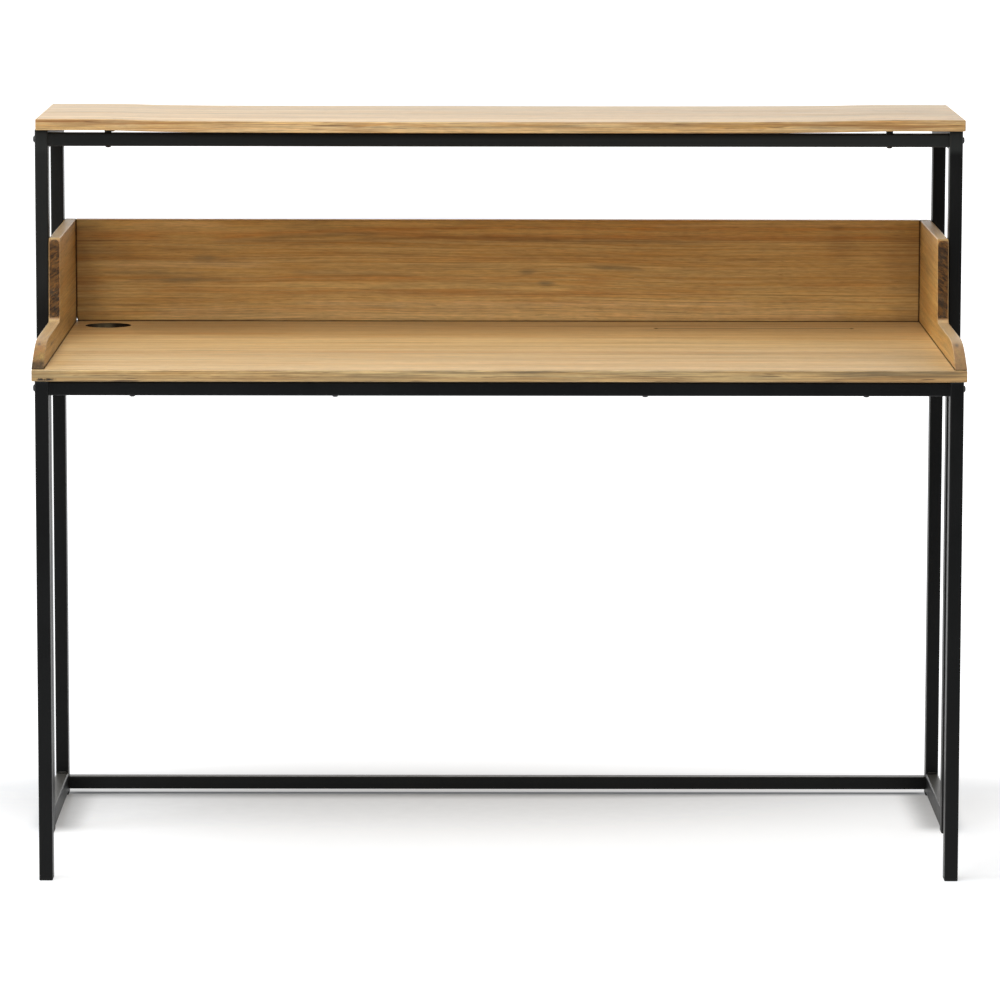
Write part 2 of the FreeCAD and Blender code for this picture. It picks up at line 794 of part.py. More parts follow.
def screw(at, length):
    """Pan-head wood screw that points up; at is the face above its head."""
    r, hr, hh = S["screw_radius"], S["screw_head_radius"], S["screw_head_high"]
    p0 = Vector(0, 0, 0)
    wire = Part.Wire(
        [
            Part.makeLine(p0, Vector(hr, 0, 0)),
            Part.Arc(
                Vector(hr, 0, 0), Vector(hr * 0.86, 0, -hh * 0.72), Vector(hr * 0.4, 0, -hh)
            ).toShape(),
            Part.makeLine(Vector(hr * 0.4, 0, -hh), Vector(0, 0, -hh)),
            Part.makeLine(Vector(0, 0, -hh), p0),
        ]
    )
    head = Part.Face(wire).revolve(Vector(0, 0, 0), Vector(0, 0, 1), 360)
    shank = Part.makeCylinder(r, length, Vector(0, 0, 0), Vector(0, 0, 1))
    slot_a = Part.makeBox(3.6, 0.9, 1.6, Vector(-1.8, -0.45, -hh - 0.4))
    slot_b = Part.makeBox(0.9, 3.6, 1.6, Vector(-0.45, -1.8, -hh - 0.4))
    solid = head.fuse(shank).removeSplitter().cut(slot_a.fuse(slot_b)).Solids[0]
    solid.translate(at)
    return solid


def sunk_screw(at, length):
    """Countersunk wood screw that points up; at is the face flush with its head."""
    r = S["screw_radius"]
    cone = Part.makeCone(4.0, r, 2.4, Vector(0, 0, 0), Vector(0, 0, 1))
    shank = Part.makeCylinder(r, length, Vector(0, 0, 0), Vector(0, 0, 1))
    slot_a = Part.makeBox(3.6, 0.9, 1.4, Vector(-1.8, -0.45, -0.2))
    slot_b = Part.makeBox(0.9, 3.6, 1.4, Vector(-0.45, -1.8, -0.2))
    solid = cone.fuse(shank).removeSplitter().cut(slot_a.fuse(slot_b)).Solids[0]
    solid.translate(at)
    return solid


def ring(outer, inner, long, at, axis):
    a = Part.makeCylinder(outer, long, at, axis)
    b = Part.makeCylinder(inner, long + 2, at - axis * 1.0, axis)
    return a.cut(b).Solids[0]


LEFT, RIGHT = Vector(-1, 0, 0), Vector(1, 0, 0)
UP = Vector(0, 0, 1)

shelf_bolts, crossbar_bolts, desk_bolts, post_bolts = [], [], [], []
for out in (LEFT, RIGHT):
    s = out.x
    for y, z in ((mid_y, shelf_rail_z), (rear_y, rear_shelf_z)):
        shelf_bolts.append(bolt(S["bolt_long"], Vector(s * half_w, y, z), out))
        post_bolts.append(bolt(S["bolt_long"], Vector(s * half_w, y, desk_side_z), out))
    crossbar_bolts.append(
        bolt(S["bolt_long"], Vector(s * half_w, rear_y, crossbar_z), out)
    )
    desk_bolts.append(
        bolt(S["bolt_long"], Vector(s * S["leg_outer"], front_rail_y, desk_rail_z), out)
    )
    desk_bolts.append(
        bolt(S["bolt_long"], Vector(s * S["leg_outer"], rear_rail_y, desk_side_z), out)
    )
group("shelf_rail_bolts", shelf_bolts)
group("crossbar_bolts", crossbar_bolts)
group("desk_rail_bolts", desk_bolts)
group("desk_to_post_bolts", post_bolts)


# Threaded end inserts: a square flange and a stub inside each rail's end
def insert(face_x, y, z, s):
    """face_x is the face that the rail end is bolted to, on side s."""
    side = S["rail_side"]
    flange = Part.makeBox(
        S["insert_flange"], side, side, Vector(0, -side / 2.0, -side / 2.0)
    )
    edges = [e for e in flange.Edges if abs(e.tangentAt(e.FirstParameter).x) > 0.99]
    flange = flange.makeFillet(S["tube_round"], edges)
    inner = side - 2 * S["tube_wall"] - 2 * S["fit_gap"]
    stub = Part.makeBox(
        S["insert_long"],
        inner,
        inner,
        Vector(S["insert_flange"], -inner / 2.0, -inner / 2.0),
    )
    solid = flange.fuse(stub).removeSplitter()
    bore = Part.makeCylinder(
        S["bolt_radius"], 40, Vector(-5, 0, 0), Vector(1, 0, 0)
    )
    solid = solid.cut(bore).Solids[0]
    if s > 0:
        solid.Placement = Placement(Vector(face_x, y, z), Rotation(UP, 180))
    else:
        solid.Placement = Placement(Vector(face_x, y, z), Rotation())
    return solid


inserts = []
for s in (-1, 1):
    long_face = s * (half_w - S["post_wide"])
    short_face = s * (S["leg_outer"] - S["post_wide"])
    inserts.append(insert(long_face, mid_y, shelf_rail_z, s))
    inserts.append(insert(long_face, rear_y, rear_shelf_z, s))
    inserts.append(insert(long_face, rear_y, crossbar_z, s))
    inserts.append(insert(short_face, front_rail_y, desk_rail_z, s))
    inserts.append(insert(short_face, rear_rail_y, desk_side_z, s))
group("rail_end_inserts", inserts)

# Rivet nuts in the outer wall of each desk side rail
nuts = []
for s in (-1, 1):
    inward = Vector(-s, 0, 0)
    for y in (mid_y, rear_y):
        face = Vector(s * S["leg_outer"], y, desk_side_z)
        sleeve = ring(4.5, S["bolt_radius"], 13.0, face, inward)
        collar = ring(
            6.0, S["bolt_radius"], 2.0, face + inward * S["tube_wall"], inward
        )
        nuts.append(sleeve.fuse(collar).removeSplitter().Solids[0])
group("rivet_nuts", nuts)

# Spacers
side_gap = half_w - S["post_wide"] - S["leg_outer"]
group(
    "desk_side_spacers",
    [
        ring(
            S["side_spacer_radius"],
            S["bolt_hole"],
            side_gap,
            Vector(s * S["leg_outer"], y, desk_side_z),
            Vector(s, 0, 0),
        )
        for s in (-1, 1)
        for y in (mid_y, rear_y)
    ],
)
shelf_points = [
    (-S["shelf_screw_front"], mid_y, shelf_rail_z),
    (S["shelf_screw_front"], mid_y, shelf_rail_z),
    (-S["shelf_screw_rear_left"], rear_y, rear_shelf_z),
    (S["shelf_screw_rear_right"], rear_y, rear_shelf_z),
]
half_rail = S["rail_side"] / 2.0
group(
    "shelf_spacers",
    [
        ring(
            S["spacer_radius"],
            S["screw_radius"],
            shelf_under - z - half_rail,
            Vector(x, y, z + half_rail),
            UP,
        )
        for x, y, z in shelf_points
    ],
)
group(
    "shelf_screws",
    [
        screw(Vector(x, y, z - half_rail), shelf_under + 11.0 - z + half_rail)
        for x, y, z in shelf_points
    ],
)
desk_xs = (
    -S["desk_screw_outer"],
    -S["desk_screw_left"],
    S["desk_screw_right"],
    S["desk_screw_outer"],
)
desk_screws = []
for y, low in (
    (front_rail_y, desk_rail_z - S["rail_side"] / 2.0),
    (rear_rail_y, desk_side_z - S["rail_side"] / 2.0),
):
    for x in desk_xs:
        desk_screws.append(screw(Vector(x, y, low), desk_under + 11.0 - low))
group("desk_screws", desk_screws)
group(
    "cheek_screws",
    [
        sunk_screw(Vector(s * cheek_x, yy(f), desk_under), 35.0)
        for s in (-1, 1)
        for f in CHEEK_SCREWS
    ],
)
group(
    "back_panel_screws",
    [
        sunk_screw(Vector(x, yy(panel_screw_from_front), desk_under), 35.0)
        for x in PANEL_SCREWS
    ],
)


# Caps in the upper ends of the posts and the front legs
def cap(x, y, top):
    wide, deep = S["post_wide"], S["post_deep"]
    flange = Part.makeBox(
        wide, deep, S["cap_high"], Vector(-wide / 2.0, -deep / 2.0, -S["cap_high"])
    )
    edges = [e for e in flange.Edges if abs(e.tangentAt(e.FirstParameter).z) > 0.99]
    flange = flange.makeFillet(S["tube_round"], edges)
    upper = [
        e
        for e in flange.Edges
        if all(abs(v.Z) < 1e-6 for v in e.Vertexes) and e.BoundBox.ZLength < 1e-6
    ]
    flange = flange.makeFillet(0.8, upper)
    w2 = wide - 2 * S["tube_wall"] - 2 * S["fit_gap"]
    d2 = deep - 2 * S["tube_wall"] - 2 * S["fit_gap"]
    # the stub ends above the bolt that crosses the tube
    deep_to = S["cap_high"] + S["cap_stub"]
    stub = Part.makeBox(
        w2, d2, S["cap_stub"], Vector(-w2 / 2.0, -d2 / 2.0, -deep_to)
    )
    solid = flange.fuse(stub).removeSplitter().Solids[0]
    solid.Placement = Placement(Vector(x, y, top), Rotation())
    return solid


group(
    "post_end_caps",
    [cap(s * post_x, y, shelf_under) for s in (-1, 1) for y in (mid_y, rear_y)],
)
group(
    "leg_end_caps",
    [cap(s * leg_x, front_rail_y, desk_under) for s in (-1, 1)],
)

# ---------------------------------------------------------------- checks
doc.recompute()

bad = [
    o.Name
    for o in doc.Objects
    if any(flag in ("Invalid", "Error") for flag in o.State)
]
if bad:
    raise RuntimeError("objects in error: %s" % bad)

parts = [
    o
    for o in doc.Objects
    if o.TypeId == "PartDesign::Body" or o.TypeId == "Part::Feature"
]
os.makedirs("parts", exist_ok=True)
for old in os.listdir("parts"):
    if old.endswith(".step"):
        os.remove(os.path.join("parts", old))
for o in parts:
    shape = o.Shape
    if shape.isNull() or not shape.isValid():
        raise RuntimeError("bad shape: " + o.Label)
    if o.TypeId == "PartDesign::Body" and len(shape.Solids) != 1:
        raise RuntimeError("%s has %d solids" % (o.Label, len(shape.Solids)))
    shape.exportStep("parts/%s.step" % o.Label)
box = FreeCAD.BoundBox()
for o in parts:
    box.add(o.Shape.BoundBox)
print("parts", len(parts), "box", box)
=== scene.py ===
"""Looks of the writing desk with a raised shelf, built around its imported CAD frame."""

import math

import bmesh
import bpy
import numpy as np
from mathutils import Matrix, Vector


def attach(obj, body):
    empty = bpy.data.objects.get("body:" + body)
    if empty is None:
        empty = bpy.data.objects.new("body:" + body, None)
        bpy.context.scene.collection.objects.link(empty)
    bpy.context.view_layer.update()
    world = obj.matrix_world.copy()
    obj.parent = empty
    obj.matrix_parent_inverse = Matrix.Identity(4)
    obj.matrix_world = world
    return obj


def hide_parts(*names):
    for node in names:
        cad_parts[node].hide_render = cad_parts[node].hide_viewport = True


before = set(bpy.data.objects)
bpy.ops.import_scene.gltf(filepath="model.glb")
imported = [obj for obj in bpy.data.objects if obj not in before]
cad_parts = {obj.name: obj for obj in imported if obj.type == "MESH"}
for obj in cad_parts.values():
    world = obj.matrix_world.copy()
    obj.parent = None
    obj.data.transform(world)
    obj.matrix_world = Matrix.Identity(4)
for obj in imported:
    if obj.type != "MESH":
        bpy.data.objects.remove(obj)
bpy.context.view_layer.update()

MM = 0.001
FRONT = -0.350  # Y of the desk's front edge; depths below are measured back from it


# ------------------------------------------------------------------ meshes


def make_object(name, points, faces, smooth=True):
    mesh = bpy.data.meshes.new(name)
    mesh.from_pydata([tuple(p) for p in points], [], [tuple(int(i) for i in f) for f in faces])
    mesh.validate()
    mesh.update()
    if smooth:
        mesh.polygons.foreach_set("use_smooth", [True] * len(mesh.polygons))
    obj = bpy.data.objects.new(name, mesh)
    bpy.context.scene.collection.objects.link(obj)
    return obj


def weighted(obj):
    modifier = obj.modifiers.new("weighted_normals", "WEIGHTED_NORMAL")
    modifier.mode = "FACE_AREA"
    modifier.weight = 60
    modifier.keep_sharp = True
    return obj


def lines(low, high, radius, steps, spans):
    """Lattice positions along one axis: evenly turned steps over each rounded edge, and the spans between."""
    turn = [math.tan(math.radians(45.0 * k / steps)) for k in range(steps, 0, -1)]
    inner = [low + radius]
    for end, spacing in spans + [(high - radius, None)]:
        start = inner[-1]
        gap = spacing or spans[-1][1] if spans else spacing
        count = max(1, int(round((end - start) / gap)))
        inner += [start + (end - start) * (k + 1) / count for k in range(count)]
    return np.array(
        [low + radius - radius * t for t in turn]
        + inner
        + [high - radius + radius * t for t in reversed(turn)]
    )


def lattice(xs, ys, zs, skip=None):
    """The six faces of a box as one closed lattice. skip is an index patch left open in the top and the bottom."""
    nx, ny, nz = len(xs), len(ys), len(zs)

    def code(i, j, k):
        return (i * ny + j) * nz + k

    quads = []

    def sheet(a, b, make, flip, open_patch=False):
        ia, ib = np.meshgrid(np.arange(a - 1), np.arange(b - 1), indexing="ij")
        ia, ib = ia.ravel(), ib.ravel()
        if open_patch and skip:
            i0, i1, j0, j1 = skip
            keep = ~((ia >= i0) & (ia < i1) & (ib >= j0) & (ib < j1))
            ia, ib = ia[keep], ib[keep]
        corner = [make(ia, ib), make(ia + 1, ib), make(ia + 1, ib + 1), make(ia, ib + 1)]
        if flip:
            corner = corner[::-1]
        quads.append(np.stack(corner, 1))

    sheet(nx, ny, lambda i, j: code(i, j, nz - 1), False, True)
    sheet(nx, ny, lambda i, j: code(i, j, 0), True, True)
    sheet(nx, nz, lambda i, k: code(i, 0, k), False)
    sheet(nx, nz, lambda i, k: code(i, ny - 1, k), True)
    sheet(ny, nz, lambda j, k: code(0, j, k), True)
    sheet(ny, nz, lambda j, k: code(nx - 1, j, k), False)
    quads = np.concatenate(quads)
    codes, index = np.unique(quads, return_inverse=True)
    faces = index.reshape(quads.shape)
    k = codes % nz
    j = (codes // nz) % ny
    i = codes // (nz * ny)
    return np.stack([xs[i], ys[j], zs[k]], 1), faces, codes, code


def rounded(points, low, high, radius):
    low, high = np.array(low), np.array(high)
    core = np.clip(points, low + radius, high - radius)
    away = points - core
    length = np.linalg.norm(away, axis=1, keepdims=True)
    return np.where(length > 1e-9, core + away / np.maximum(length, 1e-9) * radius, points)


def ripple(a, seed, scale):
    """A slow smooth wave of unit size along a, the same in every run."""
    rng = np.random.default_rng(seed)
    total = np.zeros_like(a)
    for k in range(5):
        total += math.sin(0.7 + k) * np.sin(a * scale * (0.6 + 0.83 * k) + rng.uniform(0, 6.28)) / (1 + 0.5 * k)
    return total * 0.6


def soft_step(x):
    x = np.clip(x, 0, 1)
    return x * x * (3 - 2 * x)


def board(name, low, high, radius, spans, shape=None):
    xs = lines(low[0], high[0], radius, 3, spans[0])
    ys = lines(low[1], high[1], radius, 3, spans[1])
    zs = lines(low[2], high[2], radius, 3, spans[2])
    points, faces, _, _ = lattice(xs, ys, zs)
    points = rounded(points, low, high, radius)
    if shape:
        points = shape(points)
    return weighted(make_object(name, points, faces))


def bored_board(name, low, high, radius, spans, hole, hole_radius, patch, patch_cells, rim):
    """A rounded board with one bored hole whose rims are rounded too. hole is the bore's centre."""
    hx, hy = hole
    size = patch * 2 / patch_cells
    xs = lines(low[0], high[0], radius, 3, [(hx - patch, spans[0]), (hx + patch, size), (high[0] - radius - 0.02, spans[0])])
    ys = lines(low[1], high[1], radius, 3, [(hy - patch, spans[1]), (hy + patch, size), (high[1] - radius - 0.005, spans[1])])
    zs = lines(low[2], high[2], radius, 3, spans[2])
    i0, i1 = (int(np.argmin(abs(xs - (hx + s * patch)))) for s in (-1, 1))
    j0, j1 = (int(np.argmin(abs(ys - (hy + s * patch)))) for s in (-1, 1))
    points, faces, codes, code = lattice(xs, ys, zs, (i0, i1, j0, j1))
    points = rounded(points, low, high, radius)
    points, faces = list(map(tuple, points)), list(map(tuple, faces))
    ni, nj = i1 - i0, j1 - j0
    around = [(i0 + k, j0) for k in range(ni)]
    around += [(i1, j0 + k) for k in range(nj)]
    around += [(i1 - k, j1) for k in range(ni)]
    around += [(i0, j1 - k) for k in range(nj)]
    count = len(around)
    angles = []
    for k, (i, j) in enumerate(around):
        side, rest = (k // ni, k % ni) if ni == nj else (None, None)
        if side is None:
            angles.append(math.atan2(ys[j] - hy, xs[i] - hx))
        else:
            angles.append(math.radians(-135 + 90 * (side + rest / ni)))
    top, bottom = high[2], low[2]
    rings = [[int(np.searchsorted(codes, code(i, j, len(zs) - 1))) for i, j in around]]

    def ring(radius_here, z, blend=1.0, square=None):
        ids = []
        for k in range(count):
            x = hx + radius_here * math.cos(angles[k])
            y = hy + radius_here * math.sin(angles[k])
            if square is not None:
                px, py = xs[around[k][0]], ys[around[k][1]]
                x, y = px + (x - px) * blend, py + (y - py) * blend
            ids.append(len(points))
            points.append((x, y, z))
        rings.append(ids)

    for s in range(1, 5):
        ring(hole_radius + rim, top, s / 4.0, True)
    for a in (22.5, 45, 67.5, 90):
        f = math.radians(a)
        ring(hole_radius + rim * (1 - math.sin(f)), top - rim * (1 - math.cos(f)))
    for s in range(1, 6):
        ring(hole_radius, top - rim - (top - bottom - 2 * rim) * s / 6.0)
    for a in (90, 67.5, 45, 22.5, 0):
        f = math.radians(a)
        ring(hole_radius + rim * (1 - math.sin(f)), bottom + rim * (1 - math.cos(f)))
    for s in (3, 2, 1):
        ring(hole_radius + rim, bottom, s / 4.0, True)
    rings.append([int(np.searchsorted(codes, code(i, j, 0))) for i, j in around])
    for outer, inner in zip(rings, rings[1:]):
        for k in range(count):
            n = (k + 1) % count
            faces.append((outer[k], outer[n], inner[n], inner[k]))
    return weighted(make_object(name, points, faces))


def arc(centre, radius, start, end, count):
    a0, a1 = math.radians(start), math.radians(end)
    return [
        (centre[0] + radius * math.cos(a0 + (a1 - a0) * k / count), centre[1] + radius * math.sin(a0 + (a1 - a0) * k / count))
        for k in range(count + 1)
    ]


def spread(path, spacing):
    """Points every spacing along a path, keeping its own points."""
    out = [path[0]]
    for a, b in zip(path, path[1:]):
        length = math.dist(a, b)
        n = max(1, int(round(length / spacing)))
        out += [(a[0] + (b[0] - a[0]) * k / n, a[1] + (b[1] - a[1]) * k / n) for k in range(1, n + 1)]
    return out


def cheek(name, face_in, face_out):
    """One cheek: its side profile in depth and height, with every edge eased, between two faces in X."""
    top = arc((120.0, -178.06), 213.06, 122.85, 90.0, 26)
    top += [(329.18, 35.0)]
    top += arc((329.18, 49.0), 14.0, -90.0, -5.03, 8)[1:]
    top += arc((361.24, 151.0), 9.0, 174.97, 90.0, 7)
    top += [(698.3, 160.0)]
    top += arc((698.3, 158.3), 1.7, 90.0, 0.0, 4)[1:]
    top = spread(top, 5.0)
    bottom = [(5.8, 0.0), (698.3, 0.0)] + arc((698.3, 1.7), 1.7, -90.0, 0.0, 4)[1:]
    count = len(top)
    # the lower chain takes as many points as the upper one, in step with its depth
    travel = np.concatenate([[0], np.cumsum([math.dist(a, b) for a, b in zip(top, top[1:])])])
    depth = np.array([p[0] for p in top])
    share = 0.12 * travel / travel[-1] + 0.88 * (depth - depth[0]) / (depth[-1] - depth[0])
    dense = np.array(spread(bottom, 0.5))
    run = np.concatenate([[0], np.cumsum(np.linalg.norm(np.diff(dense, axis=0), axis=1))])
    low = np.stack([np.interp(share * run[-1], run, dense[:, c]) for c in (0, 1)], 1)
    up = np.array(top)
    across = 20
    grid = low[:, None, :] + (up - low)[:, None, :] * np.linspace(0, 1, across + 1)[None, :, None]
    loop = [(i, 0) for i in range(count)]
    loop += [(count - 1, m) for m in range(1, across + 1)]
    loop += [(i, across) for i in range(count - 2, -1, -1)]
    loop += [(0, m) for m in range(across - 1, 0, -1)]
    outline = np.array([grid[i, m] for i, m in loop])
    before, after = np.roll(outline, 1, axis=0), np.roll(outline, -1, axis=0)
    e1, e2 = outline - before, after - outline
    e1 /= np.maximum(np.linalg.norm(e1, axis=1, keepdims=True), 1e-9)
    e2 /= np.maximum(np.linalg.norm(e2, axis=1, keepdims=True), 1e-9)
    n1, n2 = np.stack([e1[:, 1], -e1[:, 0]], 1), np.stack([e2[:, 1], -e2[:, 0]], 1)
    outward = (n1 + n2) / np.maximum(1 + (n1 * n2).sum(1, keepdims=True), 0.35)
    ease = 0.25 + 1.25 * soft_step((outline[:, 0] - 5.0) / 26.0)
    inset = outline - outward * ease[:, None]
    inner = {key: inset[n] for n, key in enumerate(loop)}
    li = np.array([inner[(i, 0)] for i in range(count)])
    ui = np.array([inner[(i, across)] for i in range(count)])
    side = li[:, None, :] + (ui - li)[:, None, :] * np.linspace(0, 1, across + 1)[None, :, None]
    for n, (i, m) in enumerate(loop):
        side[i, m] = inset[n]

    points, faces = [], []

    def put(x, yz):
        points.append((x * MM, FRONT + yz[0] * MM, (755.0 + yz[1]) * MM))
        return len(points) - 1

    lowx, highx = sorted((face_in, face_out))
    plates = []
    for x in (lowx, highx):
        ids = np.array([[put(x, side[i, m]) for m in range(across + 1)] for i in range(count)])
        plates.append(ids)
        for i in range(count - 1):
            for m in range(across):
                q = (ids[i, m], ids[i + 1, m], ids[i + 1, m + 1], ids[i, m + 1])
                faces.append(q if x == highx else q[::-1])
    rings = [[plates[0][i, m] for i, m in loop]]
    for a in (18, 36, 54, 72, 90):
        f = math.radians(a)
        rings.append([put(lowx + e * (1 - math.cos(f)), p + (o - p) * math.sin(f)) for e, p, o in zip(ease, inset, outline)])
    for s in (1, 2, 3):
        rings.append([put(lowx + e + (highx - lowx - 2 * e) * s / 4.0, o) for e, o in zip(ease, outline)])
    for a in (90, 72, 54, 36, 18):
        f = math.radians(a)
        rings.append([put(highx - e * (1 - math.cos(f)), p + (o - p) * math.sin(f)) for e, p, o in zip(ease, inset, outline)])
    rings.append([plates[1][i, m] for i, m in loop])
    total = len(loop)
    for a, b in zip(rings, rings[1:]):
        for k in range(total):
            n = (k + 1) % total
            faces.append((a[k], a[n], b[n], b[k]))
    return weighted(make_object(name, points, faces))


def bead(points, faces, start, end, n1, n2, size, seed):
    """A weld bead laid in the corner between two faces: n1 and n2 point from the corner along each of them."""
    rng = np.random.default_rng(seed)
    start, end, n1, n2 = (np.array(v, float) for v in (start, end, n1, n2))
    length = np.linalg.norm(end - start)
    stations = int(length / 0.35)
    phase = rng.uniform(0, 6.28)
    last = None
    for s in range(stations + 1):
        t = s / stations
        swell = 1 + 0.10 * abs(math.sin(math.pi * t * length / 1.7 + phase)) + 0.05 * math.sin(t * 9 + phase)
        taper = min(1.0, 0.35 + 2.6 * min(t, 1 - t) / 0.35 * 0.35)
        r = size * swell * taper
        centre = start + (end - start) * t
        ring = [centre - (n1 + n2) * 0.25]
        for k in range(7):
            a = math.radians(-4 + 98 * k / 6.0)
            bulge = 0.80 + 0.06 * math.sin(2 * a)
            ring.append(centre + (n1 * math.cos(a) + n2 * math.sin(a)) * r * bulge)
        ids = []
        for p in ring:
            ids.append(len(points))
            points.append(tuple(np.array(p) * MM + np.array([0, FRONT, 0])))
        if last:
            for k in range(len(ids)):
                n = (k + 1) % len(ids)
                faces.append((last[k], last[n], ids[n], ids[k]))
        else:
            faces.append(tuple(ids[::-1]))
        last = ids
    faces.append(tuple(last))


# ------------------------------------------------------------- listed marks


def strokes(obj, marks, to_plane, spots=(), more=(), gain=1.0):
    """Paints soft strokes into the point attribute wood_marks: dark, grey, orange and light, one channel each.
    A stroke is (channel, strength, half width, [(along, across), ...]) in mm on the plane that to_plane gives.
    A spot is (channel, strength, radius, (x, depth, height)) in mm. more holds further (marks, to_plane) pairs."""
    mesh = obj.data
    co = np.zeros(len(mesh.vertices) * 3, np.float32)
    mesh.vertices.foreach_get("co", co)
    co = co.reshape(-1, 3).astype(float)
    values = np.zeros((len(co), 4), np.float32)
    channels = {"dark": 0, "grey": 1, "orange": 2, "light": 3}
    for channel, strength, radius, centre in spots:
        away = co * 1000 - np.array([centre[0], centre[1] + FRONT * 1000, centre[2]])
        values[:, channels[channel]] += strength * np.exp(-((np.linalg.norm(away, axis=1) / radius) ** 2))
    listed = [(m, to_plane) for m in marks] + [(m, plane) for marks2, plane in more for m in marks2]
    for number, ((channel, strength, width, path), plane) in enumerate(listed):
        u, v, seen = plane(co)
        xs, ys = [p[0] for p in path], [p[1] for p in path]
        middle = np.interp(u, xs, ys) + ripple(u, 900 + number, 0.05) * width * 0.25
        run = xs[-1] - xs[0]
        end = min(45.0, 0.42 * run)
        taper = soft_step((u - xs[0]) / end) * soft_step((xs[-1] - u) / end)
        uneven = 0.82 + 0.18 * ripple(u, 300 + number, 0.09)
        w = width * (0.45 + 0.55 * taper)
        values[:, channels[channel]] += strength * taper * uneven * np.exp(-(((v - middle) / w) ** 2)) * seen
    values = np.clip(values * gain, 0, 1.5)
    attribute = mesh.attributes.new("wood_marks", "FLOAT_COLOR", "POINT")
    attribute.data.foreach_set("color", values.ravel())
    return obj


def warp(obj, amounts):
    attribute = obj.data.attributes.new("wood_warp", "FLOAT", "POINT")
    attribute.data.foreach_set("value", np.asarray(amounts, np.float32))


# --------------------------------------------------------------- materials


class Graph:
    """Short hands for building node trees."""

    def __init__(self, material):
        material.use_nodes = True
        self.tree = material.node_tree
        self.tree.nodes.clear()

    def node(self, kind, values=None, **settings):
        n = self.tree.nodes.new(kind)
        for key, value in settings.items():
            setattr(n, key, value)
        for key, value in (values or {}).items():
            if isinstance(value, bpy.types.NodeSocket):
                self.tree.links.new(value, n.inputs[key])
            else:
                n.inputs[key].default_value = value
        return n

    def math(self, operation, *terms, clamp=False):
        return self.node("ShaderNodeMath", dict(enumerate(terms)), operation=operation, use_clamp=clamp).outputs[0]

    def add(self, a, b):
        return self.math("ADD", a, b)

    def sub(self, a, b):
        return self.math("SUBTRACT", a, b)

    def mul(self, a, b):
        return self.math("MULTIPLY", a, b)

    def total(self, *terms):
        value = terms[0]
        for term in terms[1:]:
            value = self.math("ADD", value, term)
        return value

    def fma(self, a, b, c):
        return self.math("MULTIPLY_ADD", a, b, c)

    def step(self, value, low, high, out_low=0.0, out_high=1.0):
        n = self.node(
            "ShaderNodeMapRange",
            {"Value": value, "From Min": low, "From Max": high, "To Min": out_low, "To Max": out_high},
            interpolation_type="SMOOTHSTEP",
        )
        return n.outputs[0]

    def span(self, value, low, high, out_low=0.0, out_high=1.0):
        n = self.node(
            "ShaderNodeMapRange",
            {"Value": value, "From Min": low, "From Max": high, "To Min": out_low, "To Max": out_high},
            clamp=True,
        )
        return n.outputs[0]

    def xyz(self, x, y, z):
        return self.node("ShaderNodeCombineXYZ", {0: x, 1: y, 2: z}).outputs[0]

    def parts(self, vector):
        return self.node("ShaderNodeSeparateXYZ", {0: vector}).outputs

    def noise(self, u, v, w, su, sv, seed=0.0, detail=2.0, rough=0.55, distortion=0.0):
        """Noise stretched along u: su and sv are its cells per metre along and across."""
        vector = self.xyz(self.fma(u, su, seed), self.fma(v, sv, seed * 1.7), self.fma(w, sv, seed * 0.6))
        n = self.node(
            "ShaderNodeTexNoise",
            {"Vector": vector, "Scale": 1.0, "Detail": detail, "Roughness": rough, "Distortion": distortion},
            noise_dimensions="3D",
        )
        return n.outputs["Fac"] if "Fac" in n.outputs else n.outputs[0]

    def mix(self, factor, a, b, blend="MIX"):
        n = self.node("ShaderNodeMix", data_type="RGBA", blend_type=blend, clamp_factor=True)
        for index, value in ((0, factor), (6, a), (7, b)):
            if isinstance(value, bpy.types.NodeSocket):
                self.tree.links.new(value, n.inputs[index])
            elif index == 0:
                n.inputs[index].default_value = value
            else:
                n.inputs[index].default_value = (*value, 1.0)
        return n.outputs[2]

    def random(self, value):
        n = self.node("ShaderNodeTexWhiteNoise", {"W": value}, noise_dimensions="1D")
        return self.node("ShaderNodeSeparateColor", {0: n.outputs["Color"]}).outputs

    def scale(self, colour, amount):
        return self.node("ShaderNodeVectorMath", {0: colour, "Scale": amount}, operation="SCALE").outputs[0]


LIGHT = (0.620, 0.424, 0.180)
MID = (0.470, 0.281, 0.092)
DEEP = (0.215, 0.100, 0.030)
ORANGE = (0.440, 0.195, 0.045)
GREY = (0.205, 0.155, 0.074)
PALE = (0.700, 0.485, 0.245)


